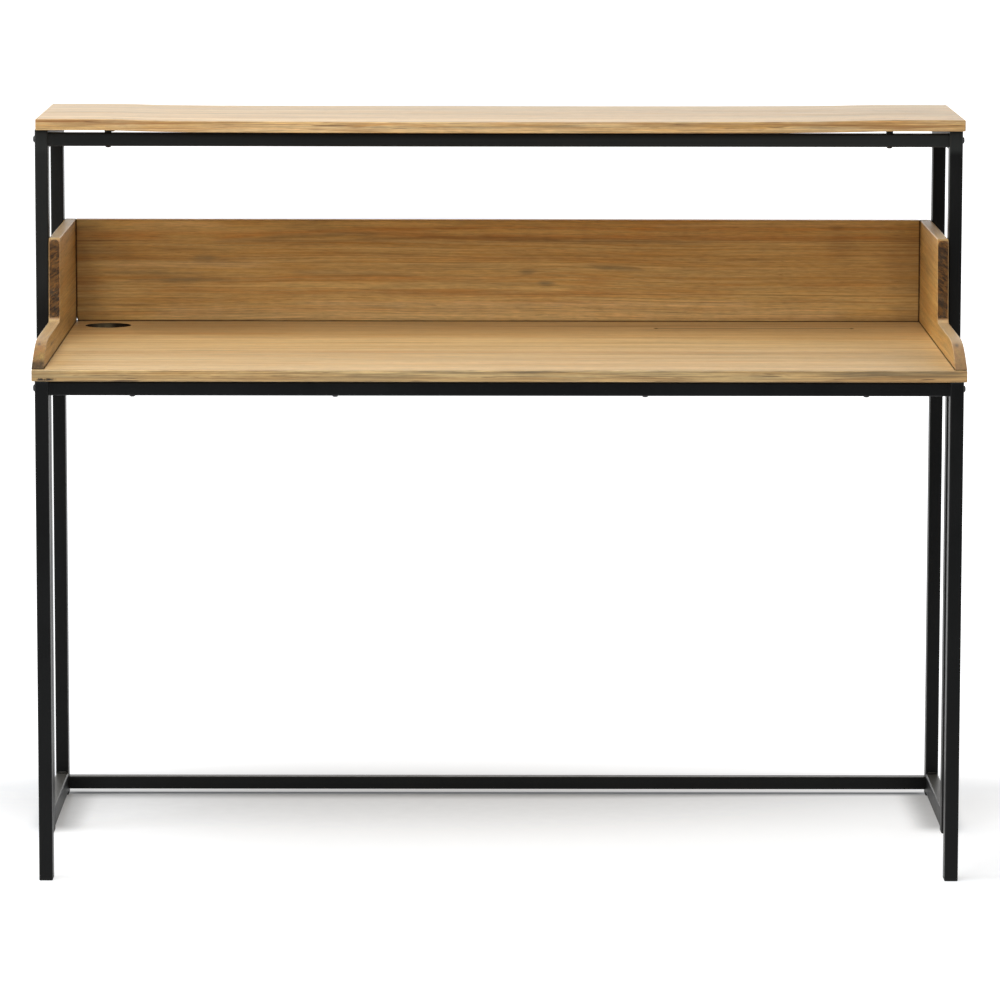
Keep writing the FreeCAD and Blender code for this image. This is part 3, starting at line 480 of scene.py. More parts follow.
def wood(name, grain, origin, seams, seed, tone=1.0, contrast=1.0, light=LIGHT, mid=MID, deep=DEEP, ring_gap=0.0044,
         lines_at=(), end_tone=(0.66, 0.50, 0.36), shade=None, stain=1.0, pores=1.0, band=1.0, worn=0.55):
    """Solid-stave hardwood. grain is a triple of axes: along the grain, across the staves, through the thickness.
    origin is the board's middle across and its face through the thickness.
    seams are the glue lines' positions across, in metres; lines_at are narrow recesses, painted dark as their shade
    (across, from, to, half width, depth)."""
    material = bpy.data.materials.new(name)
    g = Graph(material)
    place = g.node("ShaderNodeTexCoord").outputs["Object"]
    axes = dict(zip("xyz", g.parts(place)))
    u, v, w = (axes[a] for a in grain)
    marks_node = g.node("ShaderNodeAttribute", attribute_name="wood_marks", attribute_type="GEOMETRY")
    marks = g.node("ShaderNodeSeparateColor", {0: marks_node.outputs["Color"]}).outputs
    pale_mark = marks_node.outputs["Alpha"]
    warp_mark = g.node("ShaderNodeAttribute", attribute_name="wood_warp", attribute_type="GEOMETRY").outputs["Fac"]

    # grain that wanders slowly to and fro
    wander = g.noise(u, v, w, 1.9, 2.6, seed + 3.1, detail=1.0)
    wander = g.fma(wander, 0.020, -0.010)
    vv = g.add(v, wander)
    ww = g.fma(wander, 0.4, w)

    # one number per stave, and its glue lines
    index = None
    glue = None
    for at in seams:
        past = g.math("GREATER_THAN", v, at)
        index = past if index is None else g.add(index, past)
        near = g.math("ABSOLUTE", g.sub(v, at))
        near = g.span(near, 0.0, 0.0008, 1.0, 0.0)
        glue = near if glue is None else g.math("MAXIMUM", glue, near)
    if index is None:
        index = g.math("MULTIPLY", u, 0.0)
        glue = g.math("MULTIPLY", u, 0.0)
    own = g.random(g.add(index, seed * 3.7 + 0.5))
    other = g.random(g.add(index, seed * 5.3 + 40.5))
    shift = g.mul(index, 3.17)
    us = g.add(u, shift)

    # growth rings about a heart below each stave
    hv = g.fma(own[0], 0.46, -0.23)
    hw = g.fma(own[1], -0.10, -0.035)
    drift = g.noise(us, v, w, 0.8, 3.0, seed + 11.0, detail=1.0)
    dv = g.sub(g.fma(drift, 0.05, vv), g.add(hv, origin[0] + 0.025))
    dw = g.sub(ww, g.add(hw, origin[1]))
    rings = g.math("SQRT", g.add(g.mul(dv, dv), g.mul(dw, dw)))
    wobble = g.noise(us, vv, ww, 2.3, 17.0, seed + 5.0, detail=2.0)
    spacing = g.fma(own[2], 55.0, 1.0 / ring_gap - 30.0)
    phase = g.total(g.mul(rings, spacing), g.mul(wobble, 1.9), warp_mark)
    turn = g.math("FRACT", phase)
    late = g.mul(g.step(turn, 0.46, 0.92), g.step(turn, 0.93, 1.0, 1.0, 0.0))
    strength = g.random(g.add(g.math("FLOOR", phase), g.mul(index, 17.0)))
    strength = g.fma(g.math("POWER", strength[0], 1.6), 0.95, 0.08)
    late = g.mul(late, strength)

    # streaks at three widths, fibres, pores, stains
    broad = g.noise(us, vv, ww, 1.1, 34.0, seed + 1.0, detail=3.0, rough=0.6)
    narrow = g.noise(us, vv, ww, 2.6, 150.0, seed + 2.0, detail=3.0, rough=0.6)
    fibre = g.noise(us, vv, ww, 14.0, 640.0, seed + 4.0, detail=2.0, rough=0.6)
    hair = g.noise(us, vv, ww, 60.0, 2600.0, seed + 6.0, detail=1.0)
    thread = g.noise(us, vv, ww, 1.5, 400.0, seed + 16.0, detail=2.0, rough=0.5)
    vein = g.noise(us, vv, ww, 0.8, 230.0, seed + 19.0, detail=2.0, rough=0.45)
    cross = g.noise(us, vv, ww, 55.0, 420.0, seed + 17.0, detail=3.0, rough=0.6)
    cloud = g.noise(us, vv, ww, 10.0, 62.0, seed + 18.0, detail=3.0, rough=0.6)
    pore = g.noise(us, vv, ww, 46.0, 900.0, seed + 7.0, detail=1.0)
    pore = g.mul(g.step(pore, 0.665, 0.73), g.step(broad, 0.38, 0.62, 0.35, 1.0))
    fleck = g.noise(us, vv, ww, 16.0, 330.0, seed + 8.0, detail=2.0)
    fleck = g.step(fleck, 0.705, 0.775)
    stain_field = g.noise(us, vv, ww, 3.1, 26.0, seed + 9.0, detail=3.0, rough=0.6)
    stain_field = g.mul(g.step(stain_field, 0.575, 0.74), g.step(narrow, 0.30, 0.66, 0.35, 1.0))
    amber = g.noise(us, vv, ww, 0.9, 55.0, seed + 10.0, detail=2.0)
    amber = g.step(amber, 0.56, 0.73)

    # colour
    body = g.total(g.fma(broad, 1.9, -0.595), g.mul(g.sub(narrow, 0.5), 1.8), g.mul(g.sub(thread, 0.5), 0.9), g.mul(g.sub(cloud, 0.5), 1.5), g.mul(g.sub(other[0], 0.5), 0.34 * band))
    body = g.math("ADD", g.mul(g.sub(body, 0.35), contrast), 0.35)
    colour = g.mix(g.span(body, 0.0, 1.0), light, mid)
    colour = g.mix(g.mul(amber, 0.42 * contrast), colour, ORANGE)
    colour = g.mix(g.mul(late, 0.64 * contrast), colour, g.mix(other[1], deep, ORANGE))
    vein = g.mul(g.step(vein, 0.56, 0.69), g.step(cloud, 0.28, 0.58, 0.40, 1.0))
    colour = g.mix(g.mul(vein, 0.46 * contrast), colour, g.mix(other[1], deep, ORANGE))
    colour = g.mix(g.mul(stain_field, 0.50 * stain), colour, GREY)
    rough_mark = g.step(narrow, 0.25, 0.70, 0.55, 1.15)
    colour = g.mix(g.math("MULTIPLY", marks[2], rough_mark, clamp=True), colour, ORANGE)
    colour = g.mix(g.math("MULTIPLY", marks[1], rough_mark, clamp=True), colour, GREY)
    colour = g.mix(g.math("MULTIPLY", marks[0], rough_mark, clamp=True), colour, (0.115, 0.052, 0.018))
    colour = g.mix(g.math("MULTIPLY", pale_mark, g.step(fibre, 0.2, 0.8, 0.7, 1.0), clamp=True), colour, PALE)
    colour = g.mix(g.mul(pore, 0.55 * pores), colour, deep)
    colour = g.mix(g.mul(fleck, 0.30 * pores), colour, (0.10, 0.055, 0.025))
    gain = g.total(
        g.mul(g.sub(fibre, 0.5), 0.66), g.mul(g.sub(hair, 0.5), 0.30), g.mul(g.sub(thread, 0.5), 0.66), g.mul(g.sub(cross, 0.5), 0.75),
        g.mul(g.sub(cloud, 0.5), 0.60), g.mul(g.sub(other[2], 0.5), 0.12 * band), tone,
    )
    colour = g.scale(colour, gain)
    glue_seen = g.mul(glue, g.step(g.noise(u, v, w, 2.7, 40.0, seed + 12.0, detail=2.0), 0.40, 0.66, 0.04, 0.62))
    colour = g.mix(glue_seen, colour, (0.085, 0.045, 0.020))

    # narrow recesses: their darkness is painted shade, and the bump presses them in
    recess_line = None
    for across, start, end, half, depth in lines_at:
        bend = g.fma(g.noise(u, v, w, 9.0, 9.0, seed + across * 7, detail=2.0), 0.0016, across - 0.0008)
        near = g.span(g.math("ABSOLUTE", g.sub(v, bend)), half * 0.35, half, 1.0, 0.0)
        near = g.mul(near, g.mul(g.span(u, start, start + 0.012), g.span(u, end - 0.012, end, 1.0, 0.0)))
        near = g.mul(near, depth)
        recess_line = near if recess_line is None else g.math("MAXIMUM", recess_line, near)
    if recess_line is not None:
        recess_line = g.mul(recess_line, g.step(fibre, 0.2, 0.5, 0.75, 1.0))
        colour = g.mix(recess_line, colour, (0.040, 0.020, 0.010))

    # end grain: darker, with mottling and the rings seen as arcs
    normal = g.parts(g.node("ShaderNodeNewGeometry").outputs["Normal"])
    facing = dict(zip("xyz", normal))
    end = g.step(g.math("ABSOLUTE", facing[grain[0]]), 0.42, 0.86)
    mottle = g.noise(u, v, w, 60.0, 150.0, seed + 13.0, detail=3.0, rough=0.65)
    blotch = g.noise(u, v, w, 20.0, 52.0, seed + 14.0, detail=2.0, rough=0.6)
    end_colour = g.node("ShaderNodeVectorMath", {0: colour, 1: end_tone}, operation="MULTIPLY").outputs[0]
    end_colour = g.scale(end_colour, g.fma(mottle, 1.5, 0.25))
    end_colour = g.mix(g.mul(g.step(blotch, 0.56, 0.68), 0.62), end_colour, (0.050, 0.030, 0.017))
    colour = g.mix(end, colour, end_colour)
    dull = None
    if shade is not None:
        colour, dull = shade(g, colour, u, v, w, end)

    # eased edges, rubbed a little lighter
    shade_x = g.math("ABSOLUTE", normal[0])
    shade_y = g.math("ABSOLUTE", normal[1])
    shade_z = g.math("ABSOLUTE", normal[2])
    if grain[0] == "y":
        square = g.mul(normal[0], normal[0])
        edge = g.mul(square, g.sub(1.0, square))
        edge = g.span(edge, 0.03, 0.25)
    else:
        edge = g.sub(1.0, g.math("MAXIMUM", shade_x, g.math("MAXIMUM", shade_y, shade_z)))
        edge = g.span(edge, 0.02, 0.25)
    rub = g.mul(edge, g.step(g.noise(u, v, w, 30.0, 120.0, seed + 15.0, detail=2.0), 0.35, 0.65, 0.1, worn))
    if dull is not None:
        rub = g.mul(rub, g.sub(1.0, dull))
    colour = g.mix(rub, colour, PALE)

    # surface
    height = g.total(
        g.mul(fibre, 0.55), g.mul(hair, 0.25), g.mul(narrow, 0.35), g.mul(late, -0.25), g.mul(pore, -0.8), g.mul(glue, -0.9)
    )
    if recess_line is not None:
        height = g.fma(recess_line, -3.0, height)
    height = g.fma(g.mul(end, mottle), 1.2, height)
    bump = g.node("ShaderNodeBump", {"Strength": 0.45, "Distance": 0.00022, "Height": height})
    gloss = g.total(g.mul(g.sub(narrow, 0.5), 0.16), g.mul(late, -0.05), g.mul(end, 0.20), g.mul(pore, 0.10), 0.42)
    shader = g.node(
        "ShaderNodeBsdfPrincipled",
        {
            "Base Color": colour,
            "Roughness": gloss,
            "Normal": bump.outputs[0],
            "Specular IOR Level": 0.50 if dull is None else g.fma(dull, -0.47, 0.50),
        },
    )
    out = g.node("ShaderNodeOutputMaterial")
    g.tree.links.new(shader.outputs[0], out.inputs[0])
    return material


def box_edges(g, low, high):
    """From 0 on flat faces to 1 on the rounded corners of a tube that lies along an axis."""
    n = [g.math("ABSOLUTE", c) for c in g.parts(g.node("ShaderNodeNewGeometry").outputs["Normal"])]
    return g.span(g.sub(1.0, g.math("MAXIMUM", n[0], g.math("MAXIMUM", n[1], n[2]))), low, high)


def coated(name, base, lift, rough, bump, grain_scale, wear, specular):
    """Powder-coated or moulded black, with a fine orange peel, dust with a painted sheen on the faces that look up,
    painted light on parts of the frame, and rubbed corners.
    """
    material = bpy.data.materials.new(name)
    g = Graph(material)
    place = g.node("ShaderNodeTexCoord").outputs["Object"]

    def field(scale, detail=2.0, roughness=0.5):
        n = g.node("ShaderNodeTexNoise", {"Vector": place, "Scale": scale, "Detail": detail, "Roughness": roughness})
        return n.outputs["Fac"] if "Fac" in n.outputs else n.outputs[0]

    peel = field(grain_scale, 2.0)
    fine = field(grain_scale * 3.3, 1.0)
    cloud = field(7.0, 4.0, 0.6)
    dust = field(900.0, 1.0)
    scuff = g.node(
        "ShaderNodeTexNoise",
        {"Vector": g.node("ShaderNodeMapping", {0: place, "Scale": (260.0, 260.0, 26.0)}).outputs[0], "Scale": 1.0, "Detail": 3.0},
    ).outputs[0]
    edge = box_edges(g, 0.03, 0.28)
    level = g.parts(place)[2]
    facing_up = g.parts(g.node("ShaderNodeNewGeometry").outputs["Normal"])[2]
    upward = g.mul(g.step(facing_up, 0.60, 0.90), g.step(level, 0.90, 1.00, 1.0, 0.12))
    arris = g.mul(edge, g.step(facing_up, 0.25, 0.45))
    colour = g.mix(g.step(cloud, 0.30, 0.72), base, lift)
    colour = g.mix(g.mul(g.step(peel, 0.35, 0.75), 0.35), colour, tuple(c * 1.5 for c in lift))
    colour = g.mix(g.mul(g.step(dust, 0.70, 0.80), 0.22), colour, (0.07, 0.07, 0.068))
    rubbed = g.mul(edge, g.step(scuff, 0.48, 0.72, 0.10, 1.0))
    colour = g.mix(g.mul(rubbed, wear), colour, (0.075, 0.073, 0.070))
    # dust, and a painted sheen of the bright surroundings, on the faces that look up
    colour = g.mix(g.mul(upward, g.step(scuff, 0.25, 0.75, 0.62, 0.85)), colour, (0.092, 0.092, 0.086))
    # painted light: the colour is lifted on the frame from just below the shelf up, more towards the right, where the
    # shelf's overhang shades the rail
    across = g.parts(place)[0]
    painted_rail_light = g.step(across, -0.20, 0.60, 0.45, 0.98)
    colour = g.mix(g.mul(g.step(level, 1.040, 1.052), painted_rail_light), colour, (0.0198, 0.0216, 0.0210))
    # painted light: the outer left side of the frame is lifted a little from about 780 mm up
    painted_left_side_light = g.mul(g.step(across, -0.676, -0.670, 0.32, 0.0), g.step(level, 0.780, 0.860))
    colour = g.mix(painted_left_side_light, colour, (0.0280, 0.0290, 0.0280))
    gloss = g.total(g.mul(g.sub(cloud, 0.5), 0.16), g.mul(g.sub(scuff, 0.5), 0.10), g.mul(rubbed, -0.06), rough)
    height = g.total(g.mul(peel, 1.0), g.mul(fine, 0.35), g.mul(scuff, 0.15))
    bumped = g.node("ShaderNodeBump", {"Strength": bump, "Distance": 0.00012, "Height": height})
    shader = g.node(
        "ShaderNodeBsdfPrincipled",
        {"Base Color": colour, "Roughness": gloss, "Normal": bumped.outputs[0], "Specular IOR Level": g.fma(arris, -0.75 * specular, g.fma(upward, 0.10, specular))},
    )
    out = g.node("ShaderNodeOutputMaterial")
    g.tree.links.new(shader.outputs[0], out.inputs[0])
    return material


def metal(name, base, lift, rough, metallic, bump):
    """Plated steel: fine turning marks, a cloudy plating and paler corners."""
    material = bpy.data.materials.new(name)
    g = Graph(material)
    place = g.node("ShaderNodeTexCoord").outputs["Object"]
    cloud = g.node("ShaderNodeTexNoise", {"Vector": place, "Scale": 260.0, "Detail": 3.0}).outputs[0]
    grit = g.node("ShaderNodeTexNoise", {"Vector": place, "Scale": 2600.0, "Detail": 2.0}).outputs[0]
    edge = box_edges(g, 0.10, 0.35)
    colour = g.mix(g.step(cloud, 0.3, 0.7), base, lift)
    colour = g.mix(g.mul(edge, g.step(grit, 0.35, 0.70, 0.05, 0.45)), colour, tuple(min(1.0, c * 1.8 + 0.04) for c in lift))
    gloss = g.total(g.mul(g.sub(cloud, 0.5), 0.20), g.mul(g.sub(grit, 0.5), 0.12), rough)
    bumped = g.node("ShaderNodeBump", {"Strength": bump, "Distance": 0.00008, "Height": g.add(grit, g.mul(cloud, 0.5))})
    shader = g.node(
        "ShaderNodeBsdfPrincipled",
        {"Base Color": colour, "Roughness": gloss, "Metallic": metallic, "Normal": bumped.outputs[0]},
    )
    out = g.node("ShaderNodeOutputMaterial")
    g.tree.links.new(shader.outputs[0], out.inputs[0])
    return material


# -------------------------------------------------------------- the boards


SAG = (
    (-720, 0.0), (-604, 0.0), (-582, 0.04), (-560, 0.22), (-535, 0.46), (-493, 0.70), (-435, 0.83), (-290, 0.95), (-145, 0.99),
    (0, 1.0), (145, 0.98), (290, 0.90), (435, 0.76), (507, 0.52), (551, 0.24), (580, 0.04), (612, 0.0), (720, 0.0),
)


def sagged(points):
    """The shelf rests on four spacers; between them it hangs almost down to its rails."""
    grid = np.linspace(-0.720, 0.720, 1441)
    bow = np.interp(grid, [x * MM for x, _ in SAG], [share for _, share in SAG])
    kernel = np.exp(-((np.arange(-40, 41) / 14.0) ** 2))
    bow = np.convolve(np.pad(bow, 40, mode="edge"), kernel / kernel.sum(), mode="valid")
    bow = np.interp(points[:, 0], grid, bow)
    depth = (points[:, 1] - FRONT - 0.350) / 0.350
    points[:, 2] -= bow * (0.0037 - 0.0009 * np.clip(depth, 0, 1))
    points[:, 1] += 0.00025 * (1 + ripple(points[:, 0] * 1000, 21, 0.011)) * (points[:, 1] < FRONT + 0.353)
    return points


def notched(points):
    """The panel's lower left corner is knocked off a little."""
    height = points[:, 2] - 0.755
    low = np.clip(1 - height / 0.0085, 0, 1)
    near = np.clip((-0.6558 - points[:, 0]) / 0.0064, 0, 1)
    points[:, 0] += 0.0027 * low**1.5 * near
    return points


shelf = board(
    "shelf_top_board",
    (-0.698, FRONT + 0.350, 1.078),
    (0.703, FRONT + 0.700, 1.095),
    0.0015,
    ([(0.69, 0.006)], [(FRONT + 0.69, 0.005)], [(1.0930, 0.0016)]),
    sagged,
)

desktop = bored_board(
    "desktop_top_board",
    (-0.6795, FRONT, 0.738),
    (0.6795, FRONT + 0.700, 0.755),
    0.0016,
    (0.007, 0.005, [(0.7530, 0.0017)]),
    (-0.608, FRONT + 0.618),
    0.035,
    0.050,
    16,
    0.0013,
)

panel = board(
    "back_panel_board",
    (-0.6622, FRONT + 0.683, 0.755),
    (0.6622, FRONT + 0.700, 0.915),
    0.0009,
    ([(0.65, 0.0036)], [(FRONT + 0.6985, 0.0030)], [(0.9130, 0.00148)]),
    notched,
)

left_cheek = cheek("left_cheek_board", -662.5, -679.5)
right_cheek = cheek("right_cheek_board", 662.5, 679.5)

weld_points, weld_faces = [], []
seed = 0
for side in (-1, 1):
    inner, outer = 681.2 * side, 698.8 * side
    leg_in, leg_out = 656.2 * side, 673.8 * side
    for depth, way in ((390.0, 1.0), (670.0, -1.0)):
        seed += 1
        bead(weld_points, weld_faces, (inner, depth, 1048.0), (outer, depth, 1048.0), (0, way, 0), (0, 0, -1), 2.6, seed)
        seed += 1
        bead(weld_points, weld_faces, (inner, depth, 35.0), (outer, depth, 35.0), (0, way, 0), (0, 0, 1), 3.2, seed)
    seed += 1
    bead(weld_points, weld_faces, (leg_in, 30.0, 718.0), (leg_out, 30.0, 718.0), (0, 1, 0), (0, 0, -1), 2.6, seed)
welds = make_object("weld_beads", weld_points, weld_faces)
shell = bmesh.new()
shell.from_mesh(welds.data)
bmesh.ops.recalc_face_normals(shell, faces=shell.faces)
shell.to_mesh(welds.data)
shell.free()


# ------------------------------------------- marks in the wood


def on_panel(co):
    seen = soft_step((FRONT + 0.690 - co[:, 1]) / 0.004)
    return co[:, 0] * 1000, (co[:, 2] - 0.755) * 1000, seen


def on_desk_top(co):
    return co[:, 0] * 1000, (co[:, 1] - FRONT) * 1000, soft_step((co[:, 2] - 0.752) / 0.002)


def on_shelf_face(co):
    return co[:, 0] * 1000, (co[:, 2] - 1.078) * 1000, soft_step((FRONT + 0.356 - co[:, 1]) / 0.004)


def on_shelf_top(co):
    return co[:, 0] * 1000, (co[:, 1] - FRONT) * 1000, soft_step((co[:, 2] - 1.0885) / 0.002)


def on_cheek(co):
    return (co[:, 1] - FRONT) * 1000, (co[:, 2] - 0.755) * 1000, np.ones(len(co))


strokes(
    panel,
    [
        ("dark", 0.75, 1.1, [(-720, 126.5), (-590, 126.5)]),
        ("dark", 0.45, 1.1, [(-660, 126.5), (-500, 127.5)]),
        ("orange", 0.55, 4.5, [(-680, 131), (-560, 134), (-500, 131)]),
        ("dark", 0.72, 1.1, [(-720, 25.0), (-520, 25.5)]),
        ("dark", 0.30, 2.2, [(-690, 62), (-640, 61), (-600, 63)]),
        ("orange", 0.50, 7.0, [(-700, 60), (-640, 60), (-600, 62)]),
        ("grey", 0.34, 5.0, [(-700, 108), (-640, 109), (-560, 106)]),
        ("dark", 0.34, 1.0, [(-560, 36.5), (-420, 35)]),
        ("dark", 0.30, 1.2, [(-560, 115), (-470, 112), (-400, 114)]),
        ("grey", 0.26, 5.5, [(-500, 97), (-430, 96), (-360, 99)]),
        ("grey", 0.50, 3.0, [(-600, 62), (-500, 66), (-400, 65)]),
        ("dark", 0.30, 1.0, [(-330, 70), (-220, 72), (-120, 71)]),
        ("dark", 0.32, 0.9, [(-180, 92), (-60, 93), (20, 91)]),
        ("dark", 0.30, 0.9, [(-420, 13), (-300, 9), (-200, 8)]),
        ("dark", 0.32, 0.9, [(260, 20), (420, 19)]),
        ("orange", 0.50, 1.4, [(-330, 47), (-100, 50), (60, 49)]),
        ("grey", 0.42, 3.5, [(-640, 76), (-560, 77), (-440, 75)]),
        ("grey", 0.50, 4.5, [(-492, 99), (-430, 100)]),
        ("grey", 0.40, 4.0, [(-540, 61), (-450, 63)]),
        ("orange", 0.50, 1.6, [(-480, 59), (-330, 64), (-200, 66), (60, 67)]),
        ("orange", 0.40, 1.4, [(-630, 36), (-480, 33.5), (-330, 34), (-100, 30), (100, 31)]),
        ("orange", 0.60, 2.2, [(-470, 126), (-400, 134), (-330, 140), (-220, 144), (0, 148)]),
        ("grey", 0.38, 3.6, [(-470, 121), (-400, 128), (-330, 133), (-240, 137), (-150, 139)]),
        ("dark", 0.30, 1.6, [(-420, 126), (-250, 127), (-170, 131)]),
        ("dark", 0.50, 3.2, [(-240, 128), (-100, 131), (0, 131), (130, 127)]),
        ("orange", 0.65, 3.4, [(-60, 135), (100, 135), (260, 134), (420, 133), (640, 133)]),
        ("grey", 0.42, 3.0, [(90, 127), (200, 126), (360, 125)]),
        ("dark", 0.34, 0.9, [(-300, 118), (-255, 109), (-120, 104), (0, 99), (90, 98)]),
        ("grey", 0.42, 3.6, [(-350, 78), (-230, 76), (-100, 74)]),
        ("grey", 0.30, 3.0, [(-120, 62), (0, 59), (90, 60)]),
        ("orange", 0.45, 4.5, [(-200, 44), (-60, 44), (30, 42), (130, 44), (260, 44), (380, 43)]),
        ("grey", 0.36, 1.8, [(-240, 24), (-120, 24)]),
        ("dark", 0.40, 0.8, [(-220, 50), (-190, 49.5)]),
        ("orange", 0.46, 1.6, [(-260, 148), (30, 147)]),
        ("orange", 0.60, 2.6, [(-20, 148), (120, 147), (200, 145)]),
        ("orange", 0.62, 2.8, [(180, 146), (340, 147), (480, 145), (660, 147)]),
        ("dark", 0.30, 1.0, [(0, 104), (160, 103), (340, 102)]),
        ("dark", 0.34, 1.1, [(60, 98), (200, 97), (460, 98)]),
        ("dark", 0.26, 0.9, [(100, 109), (300, 110)]),
        # the cathedral figure
        ("dark", 0.42, 1.8, [(110, 89), (190, 87), (222, 83), (238, 79), (252, 72)]),
        ("grey", 0.60, 3.2, [(125, 86), (190, 84), (225, 81), (244, 75)]),
        ("orange", 0.40, 1.3, [(0, 69), (60, 74), (104, 77), (150, 72), (190, 70)]),
        ("orange", 0.40, 1.2, [(0, 80), (60, 85), (104, 87), (160, 80)]),
        ("grey", 0.62, 4.0, [(26, 78), (66, 78)]),
        ("grey", 0.75, 4.0, [(54, 60), (96, 61)]),
        ("dark", 0.38, 1.0, [(50, 57), (110, 57.5)]),
        ("grey", 0.42, 2.4, [(74, 25), (112, 25.5)]),
        ("grey", 0.36, 1.6, [(140, 24), (184, 24.5)]),
        ("orange", 0.44, 1.3, [(20, 31), (330, 30), (520, 33), (660, 27)]),
        ("orange", 0.52, 2.0, [(320, 58), (420, 57)]),
        ("orange", 0.55, 2.2, [(440, 57), (640, 59)]),
        ("dark", 0.30, 0.9, [(330, 99), (450, 98)]),
        ("dark", 0.34, 4.5, [(512, 147), (552, 147)]),
        ("grey", 0.46, 2.6, [(600, 20), (662, 21)]),
        # painted shading: two broad dark patches near the right end stand for the wood's chatoyance at this angle
        ("dark", 0.20, 22.0, [(500, 118), (572, 118)]),
        ("dark", 0.16, 30.0, [(590, 95), (662, 95)]),
        ("light", 0.30, 16.0, [(-560, 10), (560, 12)]),
        ("light", 0.34, 5.0, [(-640, 88), (-340, 89)]),
        ("light", 0.30, 4.0, [(-330, 28), (420, 27)]),
        ("light", 0.24, 6.0, [(-600, 150), (-400, 151)]),
        ("light", 0.26, 2.0, [(220, 151), (640, 152)]),
        ("orange", 0.50, 1.0, [(-660, 158.5), (660, 158.5)]),
    ],
    on_panel,
    gain=1.22,
)
co = np.array([v.co for v in panel.data.vertices])
arch = np.exp(-(((co[:, 0] - 0.150) / 0.100) ** 2) - ((co[:, 2] - 0.755 - 0.072) / 0.022) ** 2)
swing = np.exp(-(((co[:, 0] + 0.360) / 0.120) ** 2) - ((co[:, 2] - 0.755 - 0.010) / 0.020) ** 2)
warp(panel, 2.6 * arch + 1.8 * swing)

strokes(
    desktop,
    [
        # painted sheen: a pale band along the front of the top
        ("light", 0.55, 16, [(-690, 30), (-200, 26), (300, 30), (690, 26)]),
        ("dark", 0.22, 2.2, [(-640, 372), (-300, 374), (-100, 372)]),
        ("dark", 0.26, 1.6, [(-560, 206), (-300, 208)]),
        ("grey", 0.30, 7, [(-500, 448), (-330, 446)]),
        ("grey", 0.26, 6, [(120, 330), (330, 332)]),
        ("grey", 0.36, 7, [(270, 212), (420, 208)]),
        ("grey", 0.34, 5, [(180, 440), (330, 444)]),
        ("dark", 0.24, 2, [(420, 352), (640, 356)]),
        ("grey", 0.34, 6, [(200, 556), (420, 560)]),
        ("orange", 0.28, 12, [(-660, 500), (-300, 505)]),
        ("orange", 0.24, 14, [(-100, 600), (420, 606)]),
        ("orange", 0.22, 12, [(-660, 240), (-100, 244)]),
        ("light", 0.34, 14, [(-600, 420), (-100, 424), (300, 420)]),
        ("light", 0.36, 16, [(-300, 100), (600, 104)]),
        ("light", 0.30, 12, [(0, 270), (600, 268)]),
        ("dark", 0.30, 1.5, [(80, 128), (170, 127)]),
        ("dark", 0.34, 1.4, [(-660, 128), (-560, 130)]),
        ("grey", 0.30, 4, [(-120, 150), (60, 148)]),
    ],
    on_desk_top,
    gain=1.45,
)
warp(desktop, np.zeros(len(desktop.data.vertices)))

strokes(
    shelf,
    [
        ("orange", 0.85, 2.0, [(-250, 8), (-215, 6.5), (-185, 9)]),
        ("dark", 0.45, 1.2, [(-262, 9.5), (-232, 8.5)]),
        ("orange", 0.60, 1.4, [(-230, 3), (-175, 10), (-120, 12)]),
        ("dark", 0.50, 1.3, [(-640, 12.5), (-560, 12)]),
        ("grey", 0.50, 3.0, [(-690, 8), (-600, 7)]),
        ("grey", 0.34, 3.2, [(-520, 11), (-330, 11)]),
        ("grey", 0.40, 2.6, [(20, 12), (140, 11)]),
        ("orange", 0.55, 1.0, [(40, 14), (90, 8), (160, 4), (240, 3)]),
        ("grey", 0.44, 2.8, [(180, 10), (330, 9)]),
        ("dark", 0.42, 1.0, [(230, 9), (300, 8)]),
        ("dark", 0.60, 1.2, [(380, 13), (440, 13)]),
        ("grey", 0.42, 3.0, [(420, 7), (620, 8)]),
        ("orange", 0.46, 1.6, [(300, 2), (420, 4)]),
        ("dark", 0.46, 1.2, [(560, 4), (650, 3.5)]),
        ("light", 0.55, 1.6, [(-700, 1.2), (700, 1.2)]),
        ("orange", 0.30, 3.0, [(-460, 7), (-380, 7)]),
    ],
    on_shelf_face,
    more=[
        (
            [
                ("grey", 0.55, 7.0, [(-700, 516), (-300, 520), (120, 518)]),
                ("grey", 0.40, 9.0, [(-700, 622), (-200, 626), (300, 622)]),
                ("orange", 0.30, 5.0, [(-560, 434), (-100, 436), (700, 432)]),
                ("grey", 0.34, 8.0, [(100, 560), (500, 566), (703, 560)]),
                ("grey", 0.30, 8.0, [(250, 470), (600, 474)]),
                ("light", 0.55, 26.0, [(-700, 395), (703, 398)]),
                ("light", 0.35, 22.0, [(-600, 480), (500, 482)]),
                ("dark", 0.22, 5.0, [(-200, 648), (500, 652)]),
            ],
            on_shelf_top,
        )
    ],
)
warp(shelf, np.zeros(len(shelf.data.vertices)))

for piece, number in ((left_cheek, 1), (right_cheek, 2)):
    rng = np.random.default_rng(60 + number)
    marks = []
    for k in range(12):
        start = rng.uniform(40, 560)
        level = rng.uniform(4, 34 if start < 330 else 155)
        kind = ("orange", "grey", "dark", "orange")[k % 4]
        marks.append((kind, 0.30 + 0.22 * rng.random(), 1.2 + 2.4 * rng.random(), [(start, level), (start + rng.uniform(60, 190), level + rng.uniform(-2, 2))]))
    strokes(piece, marks, on_cheek)
    warp(piece, np.zeros(len(piece.data.vertices)))


# ------------------------------------------------------------ assigning


def face_up(g):
    return g.step(g.parts(g.node("ShaderNodeNewGeometry").outputs["Normal"])[2], 0.5, 0.9)


